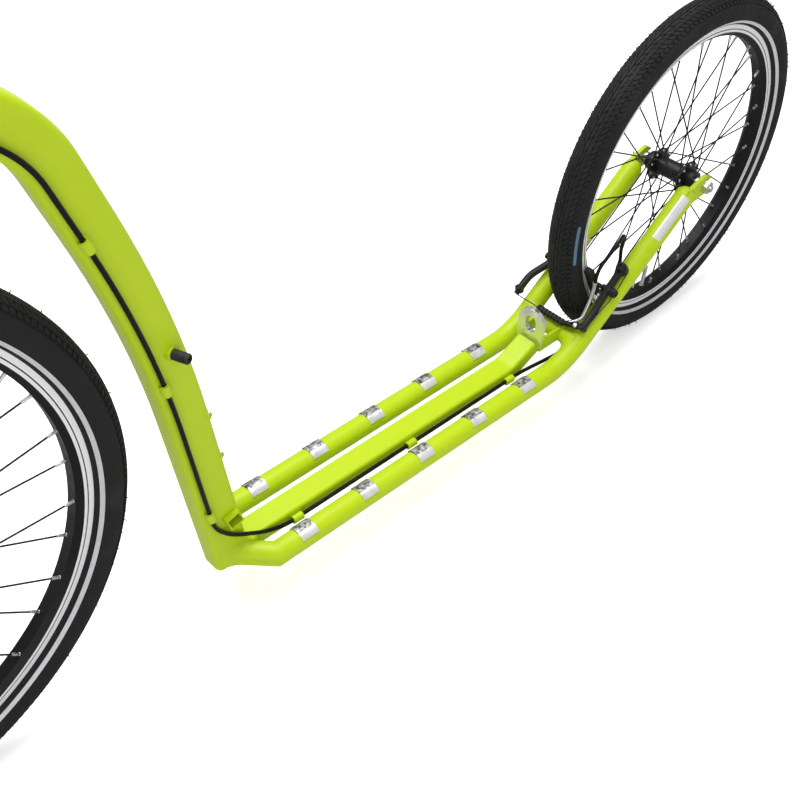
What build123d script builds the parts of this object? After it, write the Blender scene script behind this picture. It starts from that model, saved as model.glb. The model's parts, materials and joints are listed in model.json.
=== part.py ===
from build123d import *

import os
from math import asin, atan2, cos, radians, sin, sqrt, tan

# Kick bike: a large front wheel, a small rear wheel and a low deck of two bent tubes.
# Millimetres. +X points forward, +Y to the rider's left, +Z up. The origin is on top of the deck,
# midway between the side tubes, where the rider stands.

# Wheels
GROUND_Z = -86.0
FRONT_RIM_R = 284.0
REAR_RIM_R = 209.0
TYRE_HEIGHT = 40.5
TYRE_WIDTH = 46.0
RIM_WIDTH = 25.0
RIM_DEPTH = 17.0
RIM_WALL = 2.5
BEAD_DEPTH = 6.0
TRACK_DEPTH = 11.0
SPOKES = 36
SPOKE_D = 2.0
SPOKE_CROSS = 3
LACE_GAP = 4.0
SPOKE_SINK = 1.0
HUB_WIDTH = 92.0
HUB_SHELL_D = 26.0
HUB_END_GAP = 8.0
FLANGE_D = 46.0
FLANGE_T = 3.0
FLANGE_SPAN = 48.0
FLANGE_HOLE_EDGE = 3.0
AXLE_D = 9.0
AXLE_TAIL = 4.0
NUT_D = 17.0
NUT_T = 8.0
LOCKNUT_T = 6.0
RUN_FIT = 0.3
VALVE_D = 6.0
VALVE_LENGTH = 34.0

# Deck tubes and rear stays
DECK_RISE = 0.64
TUBE_D = 28.5
TUBE_SPAN = 90.8
NOSE_X = 230.0
NOSE_ANGLE = 45.0
TAIL_X = -268.0
TAIL_BEND_R = 110.0
STAY_OVER_AXLE = 14.0
STAY_END_GAP = 30.0
BRIDGE_D = 25.0
BRIDGE_X = -296.0
BRIDGE_Z = 8.0
BRIDGE_TYRE_GAP = 14.73
DROPOUT_T = 6.0
DROPOUT_R = 15.0
DROPOUT_GAP = 2.0

# Centre bar
BAR_WIDTH = 31.0
BAR_HEIGHT = 22.0
BAR_DROP = 2.0
BAR_CORNER_R = 4.0
BAR_KICK_X = -205.0
BAR_KICK_RUN = 43.0
BAR_KICK_ANGLE = 26.0
BAR_KICK_R = 40.0

# Grip pads
PADS = 5
PAD_PITCH = 94.5
PAD_LENGTH = 24.0
PAD_T = 1.4
PAD_WRAP = 108.0

# Down tube
DOWN_WIDTH = 32.0
DOWN_DEPTH = 47.0
DOWN_CORNER_R = 8.0
DOWN_SOLE_Z = -27.0
DOWN_TOE_R = 30.0
DOWN_SOLE_R = 6.0
DOWN_FOOT_X = 265.4
DOWN_FOOT_DROP = 27.0
DOWN_LEAN = 8.4
DOWN_UPPER_LEAN = 20.0
DOWN_BEND_RISE = 376.0
DOWN_BEND_R = 1300.0
NECK_RISE = 22.0
NECK_R = 130.0
DOWN_TYRE_GAP = 41.5

# Head and fork
HEAD_ANGLE = 72.0
FORK_OFFSET = 45.0
CROWN_TYRE_GAP = 14.0
CROWN_HEIGHT = 26.0
CROWN_DEPTH = 34.0
CUP_HEIGHT = 12.0
CUP_D = 46.0
HEAD_LENGTH = 115.0
HEAD_D = 40.0
HEAD_WALL = 3.0
STEERER_D = 28.6
SPACER_D = 36.0
SPACER_STACK = 40.0
LEG_TOP_D = 30.0
LEG_END_D = 20.0
LEG_TOP_SPAN = 92.0
LEG_END_SPAN = 104.0
LEG_END_GAP = 26.0

# Stem, handlebar, grips and levers
STEM_D = 38.0
STEM_NECK_D = 30.0
STEM_HEIGHT = 40.0
STEM_CAP = 4.0
STEM_REACH = 70.0
STEM_RISE = 30.0
CLAMP_BORE_D = 25.4
CLAMP_WIDTH = 46.0
HANDLEBAR_D = 22.2
HANDLEBAR_BEND_R = 45.0
HANDLEBAR_RISE = 60.0
HANDLEBAR_RISE_RUN = 70.0
HANDLEBAR_SWEEP = 8.0
BEND_MARGIN = 20.0
GRIP_D = 32.0
GRIP_LENGTH = 125.0
GRIP_CAP_T = 3.0
GRIP_COLLAR_D = 37.0
GRIP_COLLAR_T = 5.0
LEVER_GAP = 8.0
LEVER_CLAMP_D = 32.0
LEVER_CLAMP_WIDTH = 16.0
LEVER_TILT = 30.0
LEVER_ARM = 36.0
LEVER_ARM_D = 13.0
LEVER_LENGTH = 108.0
LEVER_WIDTH = 12.0
LEVER_T = 7.0
LEVER_HOOK = 12.0
BARREL_D = 9.0
BARREL_LENGTH = 16.0

# Brakes
STUD_SPAN = 92.0
STUD_D = 10.0
STUD_RISE = 4.0
STUD_HEAD = 3.0
STUD_TO_TRACK = 34.0
TRACK_MID = 7.5
ARM_LENGTH = 95.0
ARM_FOOT_R = 8.0
ARM_TIP_R = 5.0
ARM_T = 10.0
ARM_WIDTH = 8.0
ARM_FLARE = 18.0
NOODLE_ARM_FLARE = 4.0
SHOE_GAP = 3.0
SHOE_LENGTH = 56.0
SHOE_HEIGHT = 10.0
SHOE_T = 9.0
SHOE_POST_D = 6.0
SHOE_POST_TAIL = 5.0
LINK_D = 8.0
LINK_REACH = 8.0
NOODLE_D = 5.0
NOODLE_INSET = 8.0
NOODLE_RUN = 64.0
NOODLE_LIFT = 26.0
NOODLE_R = 13.0
NOODLE_IN = 24.0
BOOT_D = 10.0
BOOT_LENGTH = 46.0
BOOT_RIBS = 8
WIRE_D = 1.6

# Small frame fittings
SOCKET_SIDE = 19.0
SOCKET_WALL = 1.8
SOCKET_RISE = 79.0
SOCKET_BACK = 11.0
SOCKET_TURN = 18.0
SOCKET_PROUD = 7.0
PEG_D = 11.0
PEG_LENGTH = 20.0
PEG_RISE = 346.0
PEG_BACK = 6.0
PEG_LEAN = 22.0
BOSS_D = 11.0
BOSS_PROUD = 4.0
BOSS_BORE_D = 5.0
BOSS_BORE_DEPTH = 12.0
BOSS_PITCH = 64.0
BOSS_RISE = 162.0
BRACKET_X = -247.0
BRACKET_WIDTH = 42.0
BRACKET_FOOT_Z = 2.0
BRACKET_HEIGHT = 60.0
BRACKET_T = 7.0
WINDOW_WIDTH = 17.0
WINDOW_HEIGHT = 26.0
WINDOW_RISE = 36.0
CHEEK_T = 4.0
CHEEK_HEIGHT = 20.0

# Brake cable and its guides
CABLE_D = 5.0
CABLE_OFF = 1.6
CABLE_FRONT = 14.0
GUIDE_D = 10.0
GUIDE_LENGTH = 14.0
GUIDE_FIT = 0.3
DOWN_GUIDES = (110.0, 315.0, 511.0)
BAR_GUIDES = (178.0, -7.0, -190.0)
HEAD_GUIDE_GAP = 25.0

SIDES = {"left": 1, "right": -1}
nodes = {}


def rod(start, end, diameter, end_diameter=None):
    """Round bar or cone between two points."""
    along = end - start
    foot = Plane(origin=start, z_dir=along)
    if end_diameter is None:
        return extrude(foot * Circle(diameter / 2), along.length)
    head = Plane(origin=end, x_dir=foot.x_dir, z_dir=along)
    return loft([foot * Circle(diameter / 2), head * Circle(end_diameter / 2)])


def ring(start, end, outer, inner):
    """Sleeve between two points."""
    return rod(start, end, outer) - rod(start, end, inner)


def hex_nut(start, end, across):
    """Hexagonal nut between two points."""
    along = end - start
    outline = RegularPolygon(across / 2, 6, major_radius=False)
    return extrude(Plane(origin=start, z_dir=along) * outline, along.length)


def bent(points, radii, section):
    """Section swept through corner points, each corner an arc."""
    path = FilletPolyline(*points, radius=radii)
    return sweep(Plane(origin=path @ 0, x_dir=(0, 1, 0), z_dir=path % 0) * section, path=path)


def bent_rod(points, radii, diameter):
    """Round bar or cable through corner points, each corner an arc."""
    path = FilletPolyline(*points, radius=radii)
    return sweep(Plane(origin=path @ 0, z_dir=path % 0) * Circle(diameter / 2), path=path)


def largest_radii(points, share=0.45):
    """Bend radii as large as the runs beside each corner allow."""
    radii = []
    for before, corner, after in zip(points, points[1:], points[2:]):
        inward, outward = corner - before, after - corner
        turn = radians(inward.get_angle(outward))
        radii.append(share * min(inward.length, outward.length) / tan(turn / 2))
    return radii


def link_plate(near, near_r, far, far_r):
    """Flat outline of two rounded ends with straight sides between them."""
    return make_hull([*(Pos(*near) * Circle(near_r)).edges(), *(Pos(*far) * Circle(far_r)).edges()])


def mirrored(solid):
    """The same piece on the other side of the bike."""
    return mirror(solid, about=Plane.XZ)


def largest(shape):
    """The main solid left after a cut."""
    return shape.solids().sort_by(SortBy.VOLUME)[-1]


def side(y):
    """Sideways step."""
    return Vector(0, y, 0)


# Layout: the axles follow from the wheels and the gaps that the frame leaves for them
front_tyre_r = FRONT_RIM_R + TYRE_HEIGHT
rear_tyre_r = REAR_RIM_R + TYRE_HEIGHT
lean = radians(DOWN_LEAN)
down_up = Vector(sin(lean), 0, cos(lean))
down_front = Vector(cos(lean), 0, -sin(lean))
foot = Vector(DOWN_FOOT_X, 0, -DOWN_FOOT_DROP)
front_axle_z = GROUND_Z + front_tyre_r
down_front_x = foot.X + (front_axle_z - foot.Z) * tan(lean) + DOWN_DEPTH / 2 / cos(lean)
front_axle = Vector(down_front_x + DOWN_TYRE_GAP + front_tyre_r, 0, front_axle_z)
rear_axle_z = GROUND_Z + rear_tyre_r
bridge_reach = rear_tyre_r + BRIDGE_TYRE_GAP + BRIDGE_D / 2
rear_axle = Vector(BRIDGE_X - sqrt(bridge_reach ** 2 - (rear_axle_z - BRIDGE_Z) ** 2), 0, rear_axle_z)
dropout_mid = HUB_WIDTH / 2 + DROPOUT_GAP + DROPOUT_T / 2

steer_up = Vector(-cos(radians(HEAD_ANGLE)), 0, sin(radians(HEAD_ANGLE)))
steer_front = Vector(sin(radians(HEAD_ANGLE)), 0, cos(radians(HEAD_ANGLE)))
crown_low = sqrt((front_tyre_r + CROWN_TYRE_GAP) ** 2 - FORK_OFFSET ** 2)
crown_top = crown_low + CROWN_HEIGHT
head_low = crown_top + CUP_HEIGHT
head_top = head_low + HEAD_LENGTH
cup_top = head_top + CUP_HEIGHT
stem_low = cup_top + SPACER_STACK
stem_top = stem_low + STEM_HEIGHT


def steer(t, front=0.0, y=0.0):
    """Point t up the steering axis from beside the front axle, then forward and to the left."""
    return front_axle + steer_up * t + steer_front * (front - FORK_OFFSET) + side(y)


def deck(x, y, z):
    """Point of the deck, whose nose rises a little over the level ground."""
    rise = radians(DECK_RISE)
    return Vector(x * cos(rise) - z * sin(rise), y, x * sin(rise) + z * cos(rise))


tube_z = -TUBE_D / 2
tail = deck(TAIL_X, 0, tube_z)
to_axle = rear_axle - tail
stay_angle = atan2(to_axle.Z, -to_axle.X) + asin(STAY_OVER_AXLE / to_axle.length)
stay_dir = Vector(-cos(stay_angle), 0, sin(stay_angle))
stay_up = Vector(sin(stay_angle), 0, cos(stay_angle))
stay_reach = to_axle.dot(stay_dir)


def stay(s, up=0.0, y=0.0):
    """Point on the rear stays: s from beside the rear axle towards the deck, then up and left."""
    return tail + stay_dir * (stay_reach - s) + stay_up * up + side(y)


# Down tube: straight foot, long gentle bend, then a tighter neck into the head tube
bend = foot + down_up * (DOWN_BEND_RISE / cos(lean))
upper_lean = radians(DOWN_UPPER_LEAN)
upper_up = Vector(sin(upper_lean), 0, cos(upper_lean))
neck_dir = Vector(cos(radians(NECK_RISE)), 0, sin(radians(NECK_RISE)))
head_mid = steer((head_low + head_top) / 2)
to_head = head_mid - bend
upper_run = (to_head.X * neck_dir.Z - to_head.Z * neck_dir.X) / (
    upper_up.X * neck_dir.Z - upper_up.Z * neck_dir.X
)
neck = bend + upper_up * upper_run
down_path = FilletPolyline(foot, bend, neck, head_mid, radius=[DOWN_BEND_R, NECK_R])
down_section = RectangleRounded(DOWN_WIDTH, DOWN_DEPTH, DOWN_CORNER_R)
head_core = rod(steer(head_low), steer(head_top), HEAD_D)
sole = Pos(foot.X, 0, DOWN_SOLE_Z - DOWN_DEPTH) * Box(4 * DOWN_DEPTH, 4 * DOWN_WIDTH, 2 * DOWN_DEPTH)
foot_section = Plane(origin=foot, x_dir=(0, 1, 0), z_dir=down_up) * down_section
down_tube = sweep(foot_section, path=down_path) + extrude(foot_section, -DOWN_DEPTH / 4)
down_tube = largest(down_tube - head_core - sole)
inner_front = foot + down_front * (DOWN_DEPTH / 2 - DOWN_TOE_R)
toe_mid = inner_front + down_up * ((DOWN_SOLE_Z + DOWN_TOE_R - inner_front.Z) / down_up.Z)
toe_far = toe_mid + down_front * (2 * DOWN_TOE_R)
toe_low = DOWN_SOLE_Z - DOWN_TOE_R
toe = make_face(
    Polyline(
        (toe_mid.X, toe_mid.Z), (toe_far.X, toe_far.Z), (toe_far.X, toe_low), (toe_mid.X, toe_low), close=True
    )
)
toe -= Pos(toe_mid.X, toe_mid.Z) * Circle(DOWN_TOE_R)
down_tube = largest(down_tube - extrude(Plane.XZ * toe, DOWN_WIDTH, both=True))
under = [face for face in down_tube.faces() if face.normal_at().Z < -0.5 and face.center().Z < 0]
edges = [edge for face in under for edge in face.edges()]
rim = [edge for edge in edges if sum((edge @ 0.5 - other @ 0.5).length < 0.001 for other in edges) == 1]
down_tube = fillet(rim, DOWN_SOLE_R)


def on_down(rise, front=0.0, y=0.0):
    """Point beside the down tube: rise along it from its foot, then forward and to the left."""
    up = down_path.tangent_at(rise, position_mode=PositionMode.LENGTH)
    ahead = Vector(up.Z, 0, -up.X)
    return down_path.position_at(rise, position_mode=PositionMode.LENGTH) + ahead * front + side(y)


head_bore = HEAD_D - 2 * HEAD_WALL
nodes["head_tube"] = ring(steer(head_low), steer(head_top), HEAD_D, head_bore)
nodes["headset_cups"] = Compound(
    children=[
        ring(steer(low), steer(high), CUP_D, STEERER_D + 2 * RUN_FIT)
        for low, high in ((crown_top + RUN_FIT, head_low), (head_top, cup_top - RUN_FIT))
    ]
)

# Square cross socket and bottle bosses, let into the down tube
socket_turn = radians(SOCKET_TURN)
socket_plane = Plane(
    origin=on_down(SOCKET_RISE, -SOCKET_BACK),
    x_dir=(cos(socket_turn), 0, -sin(socket_turn)),
    z_dir=(0, 1, 0),
)
socket_half = DOWN_WIDTH / 2 + SOCKET_PROUD
socket_bore = SOCKET_SIDE - 2 * SOCKET_WALL
socket_core = extrude(socket_plane * Rectangle(SOCKET_SIDE, SOCKET_SIDE), socket_half, both=True)
nodes["socket_tube"] = socket_core - extrude(
    socket_plane * Rectangle(socket_bore, socket_bore), socket_half, both=True
)
down_tube -= socket_core
bosses = []
for rise in (BOSS_RISE, BOSS_RISE + BOSS_PITCH):
    skin = on_down(rise, -DOWN_DEPTH / 2)
    proud = on_down(rise, -DOWN_DEPTH / 2 - BOSS_PROUD)
    bore = rod(on_down(rise, BOSS_BORE_DEPTH - DOWN_DEPTH / 2), proud, BOSS_BORE_D)
    down_tube -= bore
    bosses.append(rod(skin, proud, BOSS_D) - bore)
nodes["down_tube"] = down_tube
nodes["bottle_bosses"] = Compound(children=bosses)

peg_root = on_down(PEG_RISE, -PEG_BACK, DOWN_WIDTH / 2)
peg_lean = radians(PEG_LEAN)
peg_dir = Vector(-sin(peg_lean), cos(peg_lean), 0)
peg = rod(peg_root - peg_dir * PEG_D / 2, peg_root + peg_dir * PEG_LENGTH, PEG_D)
nodes["side_peg"] = largest(peg - down_tube)

# Centre bar: flat box tube between the side tubes, kicked up at its rear end
bar_z = -BAR_DROP - BAR_HEIGHT / 2
kick = deck(BAR_KICK_X, 0, bar_z)
kick_end = kick + Vector(-BAR_KICK_RUN, 0, BAR_KICK_RUN * tan(radians(BAR_KICK_ANGLE)))
bar_points = [deck(foot.X, 0, bar_z), kick, kick_end]
centre_bar = bent(bar_points, BAR_KICK_R, RectangleRounded(BAR_WIDTH, BAR_HEIGHT, BAR_CORNER_R))
centre_bar = largest(centre_bar - down_tube)
nodes["centre_bar"] = centre_bar

# Side tubes: one bent tube each, from the down tube's foot along the deck and up as the rear stay
half_span = TUBE_SPAN / 2
nose_y = DOWN_WIDTH / 4
nose_x = NOSE_X + (half_span - nose_y) / tan(radians(NOSE_ANGLE))
stay_end = stay(STAY_END_GAP, 0, half_span)
deck_mid = deck(0, half_span, tube_z)
nose_run = Polyline(deck(nose_x, nose_y, tube_z), deck(NOSE_X, half_span, tube_z), deck_mid)
nose_section = Plane(origin=nose_run @ 0, z_dir=nose_run % 0) * Circle(TUBE_D / 2)
side_tube = sweep(nose_section, path=nose_run, transition=Transition.RIGHT)
side_tube += bent_rod([deck_mid, tail + side(half_span), stay_end], [TAIL_BEND_R], TUBE_D)
side_tube += Pos(stay_end) * Sphere(TUBE_D / 2)
side_tube = largest(side_tube - down_tube - centre_bar)
other_tube = mirrored(side_tube)
nodes["side_tube_left"] = side_tube
nodes["side_tube_right"] = other_tube
bridge_mid = Vector(BRIDGE_X, 0, BRIDGE_Z)
bridge = rod(bridge_mid - side(half_span), bridge_mid + side(half_span), BRIDGE_D)
bridge = largest(bridge - side_tube - other_tube - centre_bar)
nodes["rear_bridge"] = bridge

# Grip pads: thin saddles over the tops of the side tubes
pad_half = radians(PAD_WRAP / 2)
reach = TUBE_D
cover = make_face(
    Polyline(
        (0, 0),
        (reach * sin(pad_half), reach * cos(pad_half)),
        (0, reach / cos(pad_half)),
        (-reach * sin(pad_half), reach * cos(pad_half)),
        close=True,
    )
)
saddle = (Circle(TUBE_D / 2 + PAD_T) - Circle(TUBE_D / 2)) & cover
for name, sign in SIDES.items():
    pads = []
    for index in range(PADS):
        x = (index - (PADS - 1) / 2) * PAD_PITCH - PAD_LENGTH / 2
        seat = Plane(origin=deck(x, sign * half_span, tube_z), x_dir=(0, 1, 0), z_dir=deck(1, 0, 0))
        pads.append(extrude(seat * saddle, PAD_LENGTH))
    nodes[f"grip_pads_{name}"] = Compound(children=pads)

# Rear bracket: upright plate with an oval window and two cheeks back to the bridge
dome = BRACKET_WIDTH / 2
wall = BRACKET_HEIGHT - dome
face = Pos(0, wall / 2) * Rectangle(BRACKET_WIDTH, wall) + Pos(0, wall) * Circle(dome)
face -= Pos(0, WINDOW_RISE) * SlotOverall(WINDOW_HEIGHT, WINDOW_WIDTH, rotation=90)
bracket_plane = Plane(origin=(BRACKET_X, 0, BRACKET_FOOT_Z), x_dir=(0, 1, 0), z_dir=(1, 0, 0))
bracket = extrude(bracket_plane * face, -BRACKET_T)
cheek_length = BRACKET_X - BRACKET_T - BRIDGE_X
for sign in SIDES.values():
    cheek = Pos(
        BRACKET_X - BRACKET_T - cheek_length / 2,
        sign * (BRACKET_WIDTH - CHEEK_T) / 2,
        BRACKET_FOOT_Z + CHEEK_HEIGHT / 2,
    )
    bracket += cheek * Box(cheek_length, CHEEK_T, CHEEK_HEIGHT)
nodes["rear_bracket"] = largest(bracket - bridge - centre_bar)


def dropout(axle, root, root_r, carrier):
    """Slotted plate from the end of its carrier to the axle, on the left."""
    plate = link_plate((axle.X, axle.Z), DROPOUT_R, (root.X, root.Z), root_r)
    plate = Pos(0, dropout_mid, 0) * extrude(Plane.XZ * plate, DROPOUT_T / 2, both=True)
    away = (axle - root).normalized()
    slot = Plane(origin=axle + side(dropout_mid - DROPOUT_T), x_dir=away, z_dir=(0, 1, 0))
    slot_face = Pos(DROPOUT_R, 0) * Rectangle(2 * DROPOUT_R, AXLE_D) + Circle(AXLE_D / 2)
    return largest(plate - extrude(slot * slot_face, 2 * DROPOUT_T) - carrier)


def axle_set(axle):
    """Threaded axle with a locknut inside and a nut outside each dropout."""
    nut_y = dropout_mid + DROPOUT_T / 2
    lock_y = dropout_mid - DROPOUT_T / 2
    half = nut_y + NUT_T + AXLE_TAIL
    shape = rod(axle - side(half), axle + side(half), AXLE_D)
    for sign in SIDES.values():
        shape += hex_nut(axle + side(sign * nut_y), axle + side(sign * (nut_y + NUT_T)), NUT_D)
        shape += rod(axle + side(sign * lock_y), axle + side(sign * (lock_y - LOCKNUT_T)), NUT_D)
    return shape


left_dropout = dropout(rear_axle, stay(STAY_END_GAP, 0, 0), TUBE_D / 2 - 2, side_tube)
nodes["rear_dropouts"] = Compound(children=[left_dropout, mirrored(left_dropout)])
nodes["rear_axle"] = axle_set(rear_axle)


def wheel(name, axle, rim_r):
    """Tyre, rim, hub, crossed spokes and valve of one wheel."""
    radial = Plane(origin=axle, x_dir=(0, 1, 0), z_dir=(1, 0, 0))
    spin = Axis(axle, (0, 1, 0))
    tyre_half = TYRE_WIDTH / 2
    belly_r = rim_r + TYRE_HEIGHT - tyre_half
    channel = RIM_WIDTH / 2 - RIM_WALL
    casing = Pos(0, belly_r) * Circle(tyre_half)
    casing &= Pos(0, rim_r + TYRE_HEIGHT) * Rectangle(2 * TYRE_WIDTH, 2 * TYRE_HEIGHT)
    casing += Pos(0, rim_r - BEAD_DEPTH / 2 + 1) * Rectangle(2 * channel, BEAD_DEPTH + 2)
    casing &= Pos(0, rim_r - BEAD_DEPTH + TYRE_WIDTH) * Rectangle(2 * TYRE_WIDTH, 2 * TYRE_WIDTH)
    nodes[f"{name}_tyre"] = revolve(radial * casing, axis=spin)

    half = RIM_WIDTH / 2
    bed = half * 0.55
    bead_r = rim_r - BEAD_DEPTH
    outline = [
        (half, rim_r), (half, rim_r - TRACK_DEPTH), (bed, rim_r - RIM_DEPTH),
        (-bed, rim_r - RIM_DEPTH), (-half, rim_r - TRACK_DEPTH), (-half, rim_r),
        (-channel, rim_r), (-channel, bead_r), (channel, bead_r), (channel, rim_r),
    ]
    nodes[f"{name}_rim"] = revolve(radial * make_face(Polyline(*outline, close=True)), axis=spin)

    hub_half = HUB_WIDTH / 2 - HUB_END_GAP
    hub = rod(axle - side(hub_half), axle + side(hub_half), HUB_SHELL_D)
    for sign in SIDES.values():
        flange = axle + side(sign * FLANGE_SPAN / 2)
        hub += rod(flange - side(FLANGE_T / 2), flange + side(FLANGE_T / 2), FLANGE_D)
    hub -= rod(axle - side(HUB_WIDTH), axle + side(HUB_WIDTH), AXLE_D + 2 * RUN_FIT)
    nodes[f"{name}_hub"] = hub

    hole_r = FLANGE_D / 2 - FLANGE_HOLE_EDGE
    nipple_r = rim_r - RIM_DEPTH + SPOKE_SINK
    step = 360 / SPOKES
    spokes = []
    for index in range(SPOKES):
        flange = 1 if index % 2 else -1
        lead = 1 if index // 2 % 2 else -1
        rim_turn = radians(step * index)
        hub_turn = rim_turn + radians(lead * SPOKE_CROSS * 2 * step)
        hub_y = flange * (FLANGE_SPAN + lead * LACE_GAP) / 2
        start = axle + Vector(hole_r * cos(hub_turn), hub_y, hole_r * sin(hub_turn))
        end = axle + Vector(nipple_r * cos(rim_turn), flange * bed / 2, nipple_r * sin(rim_turn))
        spokes.append(rod(start, end, SPOKE_D))
    nodes[f"{name}_spokes"] = Compound(children=spokes)

    valve_turn = radians(step / 2 - 90)
    valve_dir = Vector(cos(valve_turn), 0, sin(valve_turn))
    seat = axle + valve_dir * (rim_r - RIM_DEPTH)
    nodes[f"{name}_valve"] = rod(seat, seat - valve_dir * VALVE_LENGTH, VALVE_D)


wheel("front", front_axle, FRONT_RIM_R)
wheel("rear", rear_axle, REAR_RIM_R)

# Fork: crown with steerer, two tapered legs, dropouts and axle
crown_half = (LEG_TOP_SPAN + LEG_TOP_D) / 2
crown_plane = Plane(origin=steer(crown_low), x_dir=(0, 1, 0), z_dir=steer_up)
crown = extrude(crown_plane * SlotOverall(2 * crown_half, CROWN_DEPTH), CROWN_HEIGHT)
crown += rod(steer(crown_low + CROWN_HEIGHT / 2), steer(stem_top - STEM_CAP), STEERER_D)
nodes["fork_crown"] = crown
leg_top = steer(crown_low)
leg_dir = (leg_top - front_axle).normalized()
leg_front = Vector(leg_dir.Z, 0, -leg_dir.X)
leg_end = front_axle + leg_dir * LEG_END_GAP
leg = rod(leg_top + side(LEG_TOP_SPAN / 2), leg_end + side(LEG_END_SPAN / 2), LEG_TOP_D, LEG_END_D)
leg = largest(leg + Pos(leg_end + side(LEG_END_SPAN / 2)) * Sphere(LEG_END_D / 2) - crown)
other_leg = mirrored(leg)
nodes["fork_legs"] = Compound(children=[leg, other_leg])
tab = dropout(front_axle, leg_end, LEG_END_D / 2 - 2, leg)
nodes["front_dropouts"] = Compound(children=[tab, mirrored(tab)])
nodes["front_axle"] = axle_set(front_axle)


def leg_at(s, up=0.0, y=0.0):
    """Point on the fork legs: s from the front axle towards the crown, then forward and left."""
    return front_axle + leg_dir * s + leg_front * up + side(y)


# Stem and handlebar
nodes["headset_spacers"] = ring(steer(cup_top), steer(stem_low), SPACER_D, STEERER_D)
stem_mid = steer((stem_low + stem_top) / 2)
clamp_mid = stem_mid + steer_front * STEM_REACH + steer_up * STEM_RISE
clamp_half = side(CLAMP_WIDTH / 2)
stem = rod(steer(stem_low), steer(stem_top), STEM_D) + rod(stem_mid, clamp_mid, STEM_NECK_D)
stem += rod(clamp_mid - clamp_half, clamp_mid + clamp_half, STEM_D)
stem -= rod(clamp_mid - clamp_half * 2, clamp_mid + clamp_half * 2, CLAMP_BORE_D)
stem -= rod(steer(stem_low - 1), steer(stem_top - STEM_CAP), STEERER_D)
nodes["stem"] = largest(stem)

rise_start = CLAMP_WIDTH / 2 + BEND_MARGIN + HANDLEBAR_BEND_R / 2
rise_end = rise_start + HANDLEBAR_RISE_RUN
hold_length = BEND_MARGIN + LEVER_CLAMP_WIDTH + LEVER_GAP + GRIP_LENGTH
sweep_angle = radians(HANDLEBAR_SWEEP)
elbow = clamp_mid + side(rise_end) + Vector(0, 0, HANDLEBAR_RISE)
outward = Vector(-sin(sweep_angle), cos(sweep_angle), 0)
tip = elbow + outward * hold_length
half_bar = [tip, elbow, clamp_mid + side(rise_start)]
bar_points = half_bar + [Vector(p.X, -p.Y, p.Z) for p in reversed(half_bar)]
handlebar = bent_rod(bar_points, [HANDLEBAR_BEND_R] * 4, HANDLEBAR_D)
nodes["handlebar"] = handlebar + rod(clamp_mid - clamp_half, clamp_mid + clamp_half, CLAMP_BORE_D)

# Grips and brake levers, made on the left and mirrored
bar_hole = rod(elbow, tip, HANDLEBAR_D)
grip_end = tip - outward * GRIP_LENGTH
grip = rod(grip_end, tip + outward * GRIP_CAP_T, GRIP_D)
grip += rod(grip_end, grip_end + outward * GRIP_COLLAR_T, GRIP_COLLAR_D)
grip -= bar_hole
nodes["grips"] = Compound(children=[grip, mirrored(grip)])

lever_mid = grip_end - outward * (LEVER_GAP + LEVER_CLAMP_WIDTH / 2)
clamp_step = outward * (LEVER_CLAMP_WIDTH / 2)
lever_tilt = radians(LEVER_TILT)
lever_out = Vector(cos(lever_tilt), 0, -sin(lever_tilt))
knuckle = lever_mid + lever_out * LEVER_ARM
barrel_end = knuckle - outward * (LEVER_ARM_D / 2 + BARREL_LENGTH)
holder = rod(lever_mid - clamp_step, lever_mid + clamp_step, LEVER_CLAMP_D)
holder += rod(lever_mid, knuckle, LEVER_ARM_D) + Pos(knuckle) * Sphere(LEVER_ARM_D / 2)
holder += rod(knuckle, barrel_end, BARREL_D)
holder -= bar_hole
nodes["lever_clamps"] = Compound(children=[holder, mirrored(holder)])
blade_points = [
    knuckle,
    knuckle + outward * (LEVER_LENGTH * 0.3) + lever_out * LEVER_HOOK / 2,
    knuckle + outward * (LEVER_LENGTH * 0.75) + lever_out * LEVER_HOOK / 3,
    knuckle + outward * LEVER_LENGTH + lever_out * LEVER_HOOK,
]
blade_path = FilletPolyline(*blade_points, radius=largest_radii(blade_points))
blade_plane = Plane(origin=knuckle, x_dir=lever_out.cross(outward), z_dir=blade_path % 0)
blade = sweep(blade_plane * RectangleRounded(LEVER_WIDTH, LEVER_T, LEVER_T / 3), path=blade_path)
blade = largest(blade - holder)
nodes["brake_levers"] = Compound(children=[blade, mirrored(blade)])


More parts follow.
